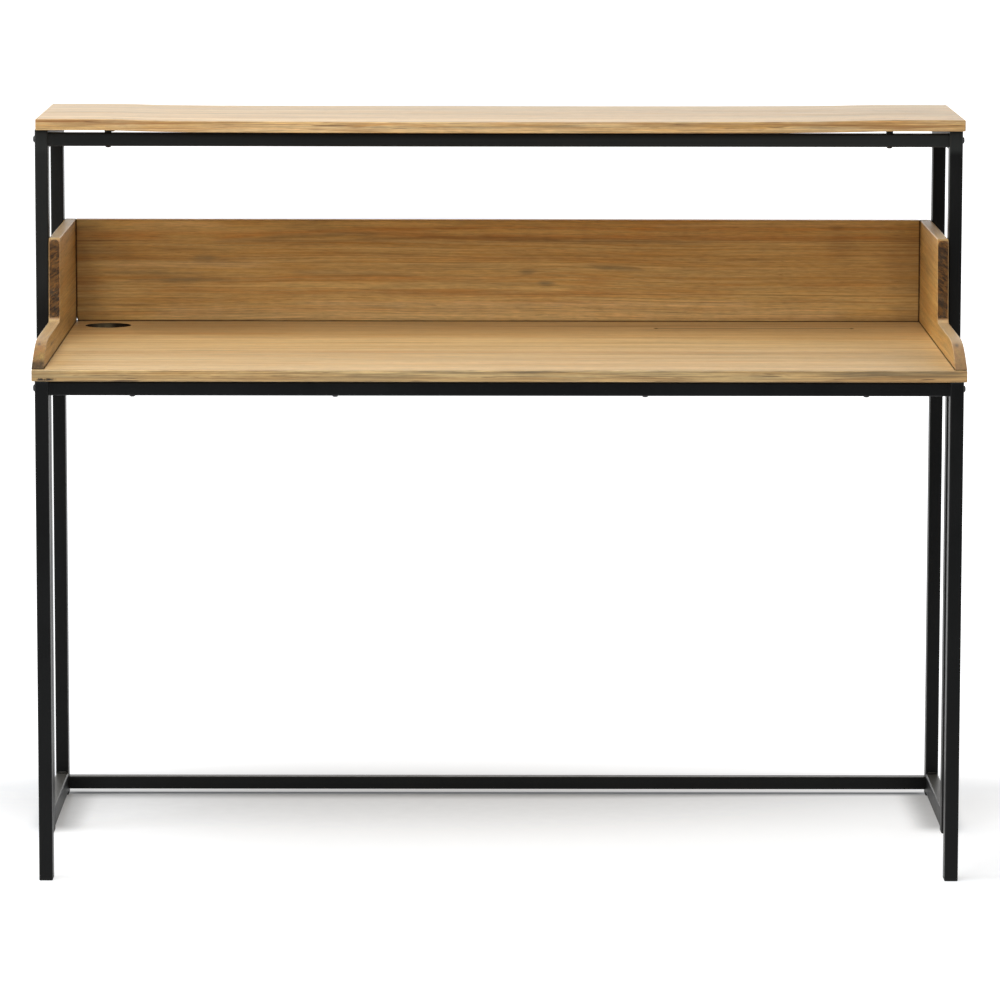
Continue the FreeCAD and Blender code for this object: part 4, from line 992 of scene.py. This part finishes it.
def nose(dark_tip, bands, seed, knots, side, crown):
    """The sanded nose of a cheek, pinkish with a grey bruise at its foot, and the sawn end grain of its riser.
    bands are dark bars across the riser: (height above the desktop, half height, strength).
    knots are (x, depth, height above the desktop, radius) in mm, and how much less they run across and along."""

    def shade(g, colour, u, v, w, end):
        flank = g.math("ABSOLUTE", g.parts(g.node("ShaderNodeNewGeometry").outputs["Normal"])[0])
        rim = g.step(flank, 0.55, 0.92, 1.0, 0.0)
        front = g.span(u, FRONT + 0.030, FRONT + 0.150, 1.0, 0.0)
        pink = g.mul(front, g.step(g.noise(u, v, w, 30.0, 110.0, seed + 71.0, detail=3.0), 0.30, 0.62))
        colour = g.mix(g.mul(pink, g.fma(rim, 0.42, 0.22)), colour, (0.46, 0.190, 0.082))
        if side > 0:
            colour = g.mix(g.mul(front, g.fma(rim, 0.42, 0.05)), colour, (0.560, 0.385, 0.230))
        veil = g.mul(g.mul(front, rim), g.step(g.noise(u, v, w, 22.0, 330.0, seed + 72.0, detail=3.0, rough=0.6), 0.42, 0.66))
        colour = g.mix(g.mul(veil, 0.34), colour, (0.210, 0.160, 0.095))
        # painted shade: the faces of the nose other than its flat sides are darkened, most at the front
        colour = g.scale(colour, g.sub(1.0, g.mul(rim, g.fma(front, 0.22, 0.08))))
        ragged = g.fma(g.noise(u, v, w, 120.0, 260.0, seed + 74.0, detail=3.0), 0.009, v)
        foot = g.mul(g.span(ragged, 0.7685, 0.7745, 1.0, 0.0), g.span(u, FRONT + 0.016, FRONT + 0.042, 1.0, 0.0))
        foot = g.mul(foot, g.step(g.noise(u, v, w, 160.0, 300.0, seed + 73.0, detail=3.0), 0.35, 0.60, 0.85, 1.0))
        colour = g.mix(g.mul(foot, dark_tip), colour, (0.050, 0.038, 0.024))
        for kx, ky, kz, radius, across, along in knots:
            jitter = g.fma(g.noise(u, v, w, 230.0, 230.0, seed + kz, detail=2.0), 0.0016, -0.0008)
            offset = g.xyz(g.mul(g.sub(w, kx * MM), across), g.mul(g.sub(u, FRONT + ky * MM), along), g.sub(v, 0.755 + kz * MM))
            reach = g.add(g.node("ShaderNodeVectorMath", {0: offset}, operation="LENGTH").outputs["Value"], jitter)
            colour = g.mix(g.span(reach, radius * 0.7 * MM, radius * 1.5 * MM, 0.75, 0.0), colour, (0.240, 0.125, 0.062))
            colour = g.mix(g.span(reach, radius * 0.35 * MM, radius * MM, 0.90, 0.0), colour, (0.100, 0.070, 0.042))
            colour = g.mix(g.span(reach, 0.0, radius * 0.45 * MM, 0.80, 0.0), colour, (0.040, 0.030, 0.022))

        sawn = g.mul(end, g.mul(g.span(u, FRONT + 0.329, FRONT + 0.336), g.span(u, FRONT + 0.362, FRONT + 0.372, 1.0, 0.0)))
        sawn = g.mul(sawn, g.span(v, 0.7925, 0.7970))
        # a planed border runs round the sawn face, its upper corners rounded
        middle = g.math("ABSOLUTE", g.sub(g.math("ABSOLUTE", w), 0.6710))
        bend = g.fma(g.noise(v, w, u, 120.0, 160.0, seed + 78.0, detail=2.0), 0.0012, middle)
        climb = g.math("MAXIMUM", g.sub(v, 0.9052), 0.0)
        bend = g.math("SQRT", g.add(g.mul(bend, bend), g.mul(climb, climb)))
        sawn = g.mul(sawn, g.span(bend, 0.0076, 0.0086, 1.0, 0.0))
        # the saw left slanting strokes
        slant = g.fma(w, 0.75 * side, v)
        along = g.fma(v, -0.75 * side, w)
        coarse = g.noise(along, slant, u, 45.0, 150.0, seed + 75.0, detail=3.0, rough=0.65)
        fine = g.noise(along, slant, u, 150.0, 620.0, seed + 76.0, detail=4.0, rough=0.7)
        ash = g.noise(v, w, u, 50.0, 60.0, seed + 77.0, detail=2.0)
        cut = g.mix(g.step(coarse, 0.36, 0.62), (0.046, 0.029, 0.016), (0.190, 0.092, 0.030))
        cut = g.mix(g.mul(g.step(ash, 0.50, 0.66), 0.55), cut, (0.098, 0.074, 0.048))
        cut = g.mix(g.mul(g.step(fine, 0.52, 0.68), 0.74), cut, (0.400, 0.155, 0.036))
        cut = g.mix(g.mul(g.step(fine, 0.47, 0.32), 0.74), cut, (0.026, 0.019, 0.014))
        cut = g.scale(cut, 0.66)
        for height, half, strength in bands:
            tilt = g.fma(w, 0.35, g.sub(v, 0.755 + height * MM + 0.35 * 0.671 * side))
            bar = g.span(g.math("ABSOLUTE", tilt), half * MM * 0.4, half * MM, 1.0, 0.0)
            cut = g.mix(g.mul(bar, g.step(fine, 0.25, 0.65, strength, strength * 0.55)), cut, (0.020, 0.015, 0.012))
        colour = g.mix(sawn, colour, cut)
        # the planed top of the riser is matt and sandy, the slope below it a little paler than the side
        top = face_up(g)
        high = g.mul(top, g.span(v, 0.9120, 0.9140))
        crest = g.mul(high, g.step(g.noise(u, v, w, 20.0, 330.0, seed + 79.0, detail=3.0), 0.34, 0.62, 0.55 * crown, crown))
        colour = g.mix(crest, colour, (0.410, 0.312, 0.190))
        slope = g.mul(top, g.mul(g.span(v, 0.86, 0.90, 1.0, 0.0), g.span(u, FRONT + 0.060, FRONT + 0.100)))
        colour = g.mix(g.mul(slope, 0.30 if side < 0 else 0.44), colour, (0.660, 0.500, 0.320))
        # dust and shadow gathered along the foot
        line = g.span(v, 0.7553, 0.7568, 1.0, 0.0)
        colour = g.mix(g.mul(line, 0.88), colour, (0.028, 0.016, 0.009))
        # painted shade on the cheek's inner face in the narrow gap beside the panel's end
        gap = g.mul(g.span(u, FRONT + 0.6828, FRONT + 0.6838), g.span(g.math("ABSOLUTE", w), 0.6634, 0.6640, 1.0, 0.0))
        colour = g.mix(gap, colour, (0.020, 0.012, 0.007))
        dull = g.math("MAXIMUM", g.math("MAXIMUM", line, gap), g.mul(sawn, 0.85))
        dull = g.math("MAXIMUM", dull, g.mul(high, 0.75))
        return colour, g.math("MAXIMUM", dull, g.mul(foot, 0.8 * dark_tip))

    return shade


def torn_corner(g, colour, u, v, w, end):
    """The desktop's front: greyish streaks above, lighter below, splintered lower corner at the left, the face painted
    a little darker as shade; painted shade on the top in a narrow recess and towards the back; a bore painted dark as
    its shade.
    """
    front = g.span(v, FRONT + 0.0010, FRONT + 0.0018, 1.0, 0.0)
    top = face_up(g)
    streak = g.noise(u, v, w, 6.0, 330.0, 81.0, detail=3.0, rough=0.6)
    patch = g.noise(u, v, w, 5.0, 60.0, 82.0, detail=3.0, rough=0.6)
    line = g.noise(u, v, w, 7.0, 560.0, 86.0, detail=3.0, rough=0.6)
    upper = g.span(w, 0.7410, 0.7475, 0.25, 1.0)
    # painted shade: the front face a little darker than the top
    colour = g.scale(colour, g.fma(front, -0.13, 1.0))
    lower = g.mul(front, g.mul(g.span(w, 0.7385, 0.7410), g.span(w, 0.7415, 0.7445, 1.0, 0.0)))
    colour = g.mix(g.mul(lower, g.step(streak, 0.3, 0.6, 0.15, 0.50)), colour, (0.56, 0.35, 0.15))
    colour = g.mix(g.mul(front, g.mul(g.step(line, 0.47, 0.64), 0.62)), colour, (0.210, 0.118, 0.046))
    grey = g.mul(g.mul(front, g.step(patch, 0.40, 0.64)), g.mul(upper, g.step(streak, 0.36, 0.62, 0.20, 0.95)))
    colour = g.mix(grey, colour, (0.160, 0.120, 0.066))
    bit = g.noise(u, v, w, 14.0, 300.0, 83.0, detail=2.0)
    colour = g.mix(g.mul(front, g.mul(g.step(bit, 0.62, 0.71), 0.80)), colour, (0.085, 0.045, 0.022))
    splinter = g.noise(u, v, w, 160.0, 420.0, 84.0, detail=3.0, rough=0.7)
    corner = g.mul(g.mul(front, g.mul(g.span(u, -0.673, -0.669), g.span(u, -0.652, -0.642, 1.0, 0.0))), g.mul(g.span(w, 0.7386, 0.7398), g.span(w, 0.7420, 0.7436, 1.0, 0.0)))
    colour = g.mix(g.mul(corner, g.step(splinter, 0.40, 0.48)), colour, (0.022, 0.014, 0.009))
    # a dark line with a darker spot at each end: painted shade of a narrow recess that is not cut in the board
    recess_shade = g.span(g.math("ABSOLUTE", g.sub(v, FRONT + 0.5800)), 0.0020, 0.0046, 0.66, 0.0)
    recess_shade = g.mul(recess_shade, g.mul(g.span(u, 0.240, 0.250), g.span(u, 0.543, 0.553, 1.0, 0.0)))
    recess_shade = g.mul(recess_shade, g.step(g.noise(u, v, w, 14.0, 20.0, 87.0, detail=2.0), 0.35, 0.60, 0.70, 1.0))
    colour = g.mix(g.mul(top, g.mul(recess_shade, 0.6)), colour, (0.060, 0.036, 0.020))
    for x in (0.2455, 0.5492):
        offset = g.xyz(g.mul(g.sub(u, x), 1.9), g.sub(v, FRONT + 0.5797), 0.0)
        reach = g.node("ShaderNodeVectorMath", {0: offset}, operation="LENGTH").outputs["Value"]
        recess_end_shade = g.span(reach, 0.0040, 0.0085, 0.95, 0.0)
        colour = g.mix(g.mul(top, recess_end_shade), colour, (0.030, 0.018, 0.011))
        recess_shade = g.math("MAXIMUM", recess_shade, recess_end_shade)
    recess_shade = g.mul(recess_shade, top)
    # painted shade: the top a little darker towards its front edge, and darker towards the back where the shelf's
    # shadow falls
    colour = g.scale(colour, g.mul(g.span(v, FRONT, FRONT + 0.30, 0.94, 1.0), g.step(v, FRONT + 0.520, FRONT + 0.690, 1.0, 0.90)))
    # shadow gathered along the feet of the cheeks and of the panel
    across = g.math("ABSOLUTE", u)
    line = g.mul(g.mul(g.span(across, 0.6606, 0.6618), g.span(across, 0.6795, 0.6799, 1.0, 0.0)), g.span(v, FRONT + 0.005, FRONT + 0.009))
    line = g.math("MAXIMUM", line, g.span(v, FRONT + 0.6795, FRONT + 0.6815))
    line = g.mul(line, top)
    colour = g.mix(g.mul(line, 0.86), colour, (0.030, 0.017, 0.009))
    # inside of the bore: painted near black as its shade, browner on its left
    du = g.sub(u, -0.608)
    dv = g.sub(v, FRONT + 0.618)
    reach = g.math("SQRT", g.add(g.mul(du, du), g.mul(dv, dv)))
    bore = g.span(reach, 0.0353, 0.0360, 1.0, 0.0)
    bore_brown_left = g.mul(g.span(g.math("ABSOLUTE", g.sub(u, -0.617)), 0.008, 0.019, 1.0, 0.0), g.step(g.noise(u, v, w, 60.0, 90.0, 85.0, detail=2.0), 0.3, 0.7, 0.4, 1.0))
    colour = g.mix(bore, colour, g.mix(bore_brown_left, (0.014, 0.010, 0.006), (0.088, 0.070, 0.040)))
    return colour, g.math("MAXIMUM", recess_shade, g.math("MAXIMUM", bore, line))


def panel_shade(g, colour, u, v, w, end):
    """Shadow and dust in the corners that the panel makes with the desktop and the cheeks."""
    near_left = g.step(u, -0.6622, -0.5900, 0.34, 0.0)
    near_right = g.mul(g.step(u, 0.5900, 0.6622, 0.0, 0.24), g.step(v, 0.880, 0.912, 1.0, 0.15))
    colour = g.scale(colour, g.sub(1.0, g.add(near_left, near_right)))
    middle = g.mul(g.span(v, 0.788, 0.808), g.span(v, 0.876, 0.898, 1.0, 0.0))
    right_low = g.mul(g.span(u, 0.450, 0.600), g.span(v, 0.756, 0.812, 1.0, 0.0))
    colour = g.mix(g.mul(g.math("MAXIMUM", middle, right_low), 0.13), colour, (0.150, 0.045, 0.001))
    across = g.math("ABSOLUTE", u)
    line = g.math("MAXIMUM", g.span(v, 0.7556, 0.7570, 1.0, 0.0), g.span(across, 0.6596, 0.6610))
    line = g.mul(line, g.span(w, FRONT + 0.6840, FRONT + 0.6850, 1.0, 0.0))
    line = g.math("MAXIMUM", line, g.span(across, 0.6614, 0.6619))
    line = g.math("MAXIMUM", line, g.mul(g.span(v, 0.757, 0.769, 1.0, 0.0), g.span(u, -0.6600, -0.6578, 1.0, 0.0)))
    colour = g.mix(g.mul(line, 0.88), colour, (0.028, 0.016, 0.009))
    return colour, line


def shelf_face(g, colour, u, v, w, end):
    """The shelf's front edge: browner than its top, with fine brown and grey lines; its paler lower arris is one of the
    shelf's listed marks.
    """
    front = g.span(v, FRONT + 0.3510, FRONT + 0.3518, 1.0, 0.0)
    streak = g.noise(u, v, w, 3.4, 380.0, 91.0, detail=3.0, rough=0.6)
    patch = g.noise(u, v, w, 2.6, 90.0, 92.0, detail=3.0, rough=0.6)
    colour = g.mix(g.mul(front, g.mul(g.step(patch, 0.44, 0.66), g.step(streak, 0.38, 0.62, 0.20, 0.90))), colour, (0.265, 0.120, 0.038))
    colour = g.mix(g.mul(front, g.mul(g.step(patch, 0.46, 0.30), g.step(streak, 0.40, 0.60, 0.15, 0.80))), colour, (0.215, 0.165, 0.092))
    line = g.noise(u, v, w, 6.0, 620.0, 94.0, detail=3.0, rough=0.6)
    colour = g.mix(g.mul(front, g.mul(g.step(line, 0.50, 0.66), 0.60)), colour, (0.230, 0.120, 0.046))
    bit = g.noise(u, v, w, 10.0, 320.0, 93.0, detail=2.0)
    colour = g.mix(g.mul(front, g.mul(g.step(bit, 0.63, 0.71), 0.78)), colour, (0.085, 0.042, 0.020))
    return g.scale(colour, g.fma(front, 0.02, 1.0)), g.mul(front, 0.3)


materials = {
    "shelf": wood("shelf_staves", "xyz", (FRONT + 0.525, 1.095), [FRONT + 0.350 + d for d in (0.083, 0.167, 0.272)], 1.0, tone=1.04, light=(0.62, 0.452, 0.240), band=0.8, shade=shelf_face),
    "desktop": wood(
        "desktop_staves", "xyz", (FRONT + 0.350, 0.755), [FRONT + d for d in (0.058, 0.128, 0.206, 0.290, 0.360, 0.442, 0.515, 0.602)], 2.0, tone=1.16, band=0.35, contrast=1.1,
        light=(0.610, 0.432, 0.200), mid=(0.460, 0.284, 0.105), lines_at=((FRONT + 0.5800, 0.240, 0.553, 0.0044, 0.70),), shade=torn_corner,
    ),
    "panel": wood("panel_staves", "xzy", (0.835, FRONT + 0.683), [0.755 + h for h in (0.0428, 0.0924, 0.1265)], 3.0, tone=1.085, contrast=1.12, stain=0.8, light=(0.610, 0.398, 0.140), mid=(0.460, 0.256, 0.068), shade=panel_shade),
    "left": wood(
        "left_cheek_staves", "yzx", (0.830, -0.700), [0.755 + h for h in (0.071,)], 4.0, tone=0.88, contrast=0.95,
        light=(0.600, 0.390, 0.140), mid=(0.460, 0.252, 0.072),
        shade=nose(0.9, ((146, 5, 0.75), (112, 3, 0.5), (70, 4, 0.55), (52, 7, 0.8)), 0.0, ((-673.0, 73.0, 29.8, 2.7, 1.0, 0.30), (-662.5, 170.0, 20.0, 2.4, 1.0, 0.10)), -1.0, 0.60), worn=0.30,
    ),
    "right": wood(
        "right_cheek_staves", "yzx", (0.830, 0.650), [0.755 + h for h in (0.084,)], 5.0, tone=0.97, contrast=0.95,
        light=(0.600, 0.375, 0.118), mid=(0.460, 0.240, 0.058),
        shade=nose(0.25, ((143, 7, 0.9), (133, 3.5, 0.9), (120, 2.5, 0.6), (62, 6, 0.85)), 9.0, ((669.5, 73.0, 29.8, 3.4, 1.0, 0.30),), 1.0, 0.62), worn=0.30,
    ),
}
finish = {
    "black_frame": coated("powder_coat", (0.0034, 0.0036, 0.0036), (0.0056, 0.0059, 0.0060), 0.42, 0.30, 900.0, 0.14, 0.16),
    "black_plastic": coated("moulded_black", (0.0040, 0.0040, 0.0041), (0.0068, 0.0068, 0.0069), 0.52, 0.22, 1500.0, 0.20, 0.18),
    "spacer_plastic": coated("spacer_moulding", (0.0085, 0.0085, 0.0085), (0.0150, 0.0150, 0.0150), 0.48, 0.18, 1500.0, 0.20, 0.34),
    "black_fastener": metal("blackened_steel", (0.012, 0.012, 0.013), (0.030, 0.030, 0.031), 0.40, 0.6, 0.25),
    "zinc_steel": metal("zinc_plate", (0.42, 0.42, 0.40), (0.62, 0.62, 0.60), 0.34, 1.0, 0.25),
}

for piece, key, node, slot in (
    (shelf, "shelf", "shelf_board", "shelf_wood"),
    (desktop, "desktop", "desktop_board", "desktop_wood"),
    (panel, "panel", "back_panel", "panel_wood"),
    (left_cheek, "left", "left_cheek", "cheek_wood"),
    (right_cheek, "right", "right_cheek", "cheek_wood"),
):
    piece.data.materials.append(materials[key])
    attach(piece, "root")
    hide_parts(node)

welds.data.materials.append(finish["black_frame"])
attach(welds, "root")

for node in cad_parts.values():
    for entry in node.material_slots:
        if entry.material and entry.material.name in finish:
            entry.material = finish[entry.material.name]
        elif entry.material and entry.material.name.split(".")[0] in finish:
            entry.material = finish[entry.material.name.split(".")[0]]


# ------------------------------------------------------ floor and light

floor_mesh = bpy.data.meshes.new("studio_floor")
edge = [-60.0, -8.0, -3.0, -1.5, 0.0, 1.5, 3.0, 8.0, 70.0]
floor_points = [(x, y, 0.0) for y in edge for x in edge]
n = len(edge)
floor_faces = [(j * n + i, j * n + i + 1, (j + 1) * n + i + 1, (j + 1) * n + i) for j in range(n - 1) for i in range(n - 1)]
floor_mesh.from_pydata(floor_points, [], floor_faces)
floor = bpy.data.objects.new("studio_floor", floor_mesh)
bpy.context.scene.collection.objects.link(floor)
floor_material = bpy.data.materials.new("studio_floor_paint")
g = Graph(floor_material)
place = g.node("ShaderNodeTexCoord").outputs["Object"]
speck = g.node("ShaderNodeTexNoise", {"Vector": place, "Scale": 40.0, "Detail": 4.0}).outputs[0]
tint = g.mix(g.step(speck, 0.3, 0.7), (0.41, 0.43, 0.455), (0.43, 0.45, 0.475))
floor_x, floor_y, _ = g.parts(place)
# the floor's glow, with painted light and shade in it: brighter towards the sides, the right and behind the desk,
# dimmer far in front; it falls off under the desk and most of all in a painted contact shadow under the crossbar
along = g.math("MULTIPLY", g.math("MINIMUM", g.math("ABSOLUTE", floor_x), 1.0), 2.2)
lift = g.fma(g.mul(along, along), 0.07, g.mul(g.span(floor_x, -0.6, 0.6, -0.6, 0.6), 0.11))
lift = g.mul(lift, g.step(floor_y, -0.30, 0.20))
painted_floor_glow = g.total(
    0.62,
    g.step(floor_y, -0.10, 0.30, 0.0, -0.22),
    lift,
    g.step(floor_y, 0.36, 0.66, 0.0, 0.43),
    g.step(floor_y, 0.80, 1.40, 0.0, 0.10),
    g.step(floor_y, -2.8, -1.3, -0.55, 0.0),
)
# painted contact shadow of the crossbar
crossbar_shadow_front = g.step(floor_y, g.step(floor_x, 0.05, 0.60, 0.2800, 0.3080), 0.3425)
painted_crossbar_shadow = g.mul(crossbar_shadow_front, g.step(floor_y, 0.3410, 0.3560, 1.0, 0.0))
painted_crossbar_shadow = g.mul(painted_crossbar_shadow, g.step(g.math("ABSOLUTE", floor_x), 0.66, 0.71, 1.0, 0.0))
painted_floor_glow = g.mul(painted_floor_glow, g.sub(1.0, painted_crossbar_shadow))
# soft painted shade on the floor along the inner side of the side bars
inner = g.step(g.math("ABSOLUTE", floor_x), 0.625, 0.676)
inner = g.mul(inner, g.mul(g.step(g.math("ABSOLUTE", floor_x), 0.680, 0.730, 1.0, 0.0), g.mul(g.step(floor_y, 0.00, 0.08), g.step(floor_y, 0.31, 0.37, 1.0, 0.0))))
painted_floor_glow = g.mul(painted_floor_glow, g.fma(inner, -0.62, 1.0))
shader = g.node(
    "ShaderNodeBsdfPrincipled",
    {"Base Color": tint, "Roughness": 0.9, "Specular IOR Level": 0.1, "Emission Color": (1.0, 1.0, 1.0, 1.0), "Emission Strength": painted_floor_glow},
)
out = g.node("ShaderNodeOutputMaterial")
g.tree.links.new(shader.outputs[0], out.inputs[0])
floor_mesh.materials.append(floor_material)

scene = bpy.context.scene
scene.view_settings.view_transform = "Standard"
scene.view_settings.look = "None"
scene.view_settings.exposure = 0.0
scene.view_settings.gamma = 1.0

world = bpy.data.worlds.new("studio")
scene.world = world
world.use_nodes = True
tree = world.node_tree
tree.nodes.clear()


class WorldGraph(Graph):
    def __init__(self, tree):
        self.tree = tree


g = WorldGraph(tree)
direction = g.node("ShaderNodeTexCoord").outputs["Generated"]
dx, dy, dz = g.parts(direction)
back = g.mul(g.step(dy, -0.10, 0.50, 0.0, 1.70), g.step(dz, 0.25, 0.70, 1.0, 0.0))
level = g.add(back, 0.01)
straight = g.node("ShaderNodeLightPath").outputs["Is Camera Ray"]
level = g.node("ShaderNodeMix", {0: straight, 2: level, 3: 1.0}, data_type="FLOAT").outputs[0]
background = g.node("ShaderNodeBackground", {"Color": (1.0, 1.0, 1.0, 1.0), "Strength": level})
out = g.node("ShaderNodeOutputWorld")
tree.links.new(background.outputs[0], out.inputs[0])


def area(name, place, aim, size_x, size_y, power, colour=(1.0, 1.0, 1.0)):
    data = bpy.data.lights.new(name, "AREA")
    data.shape = "RECTANGLE"
    data.size, data.size_y = size_x, size_y
    data.energy = power
    data.color = colour
    lamp = bpy.data.objects.new(name, data)
    bpy.context.scene.collection.objects.link(lamp)
    lamp.location = place
    lamp.rotation_euler = (Vector(aim) - Vector(place)).to_track_quat("-Z", "Y").to_euler()
    return lamp


area("key", (-0.9, -1.25, 3.6), (0.0, -0.05, 0.85), 2.4, 1.2, 80.0, (1.0, 0.990, 0.970))
area("front_fill", (-0.3, -2.9, 2.75), (0.0, 0.0, 0.8), 3.0, 1.0, 54.0, (1.0, 0.990, 0.970))
area("left_fill", (-3.2, -1.2, 1.7), (0.0, 0.0, 0.9), 1.6, 1.6, 42.0)
area("right_fill", (3.2, -1.2, 1.7), (0.0, 0.0, 0.9), 1.6, 1.6, 15.0)

# ---------------------------------------------------------------- camera

CX, CY, CZ = -32.27, -8104.597, 1676.80
YAW, PITCH, ROLL, FOCAL = 0.0041, 0.1363, 0.0017, 5618.72
camera_data = bpy.data.cameras.new("camera")
camera = bpy.data.objects.new("camera", camera_data)
scene.collection.objects.link(camera)
forward0 = Vector((math.sin(YAW), math.cos(YAW), 0))
right0 = Vector((math.cos(YAW), -math.sin(YAW), 0))
up0 = Vector((0, 0, 1))
forward = forward0 * math.cos(PITCH) - up0 * math.sin(PITCH)
upward = up0 * math.cos(PITCH) + forward0 * math.sin(PITCH)
right = right0 * math.cos(ROLL) + upward * math.sin(ROLL)
upward = upward * math.cos(ROLL) - right0 * math.sin(ROLL)
turned = Matrix((right, upward, -forward)).transposed().to_4x4()
camera.matrix_world = Matrix.Translation(Vector((CX, CY - 350.0, CZ)) * MM) @ turned
camera_data.sensor_fit = "HORIZONTAL"
camera_data.sensor_width = 36.0
camera_data.lens = FOCAL / 1000.0 * 36.0
camera_data.clip_start = 0.1
camera_data.clip_end = 300.0
scene.camera = camera

bpy.context.view_layer.update()
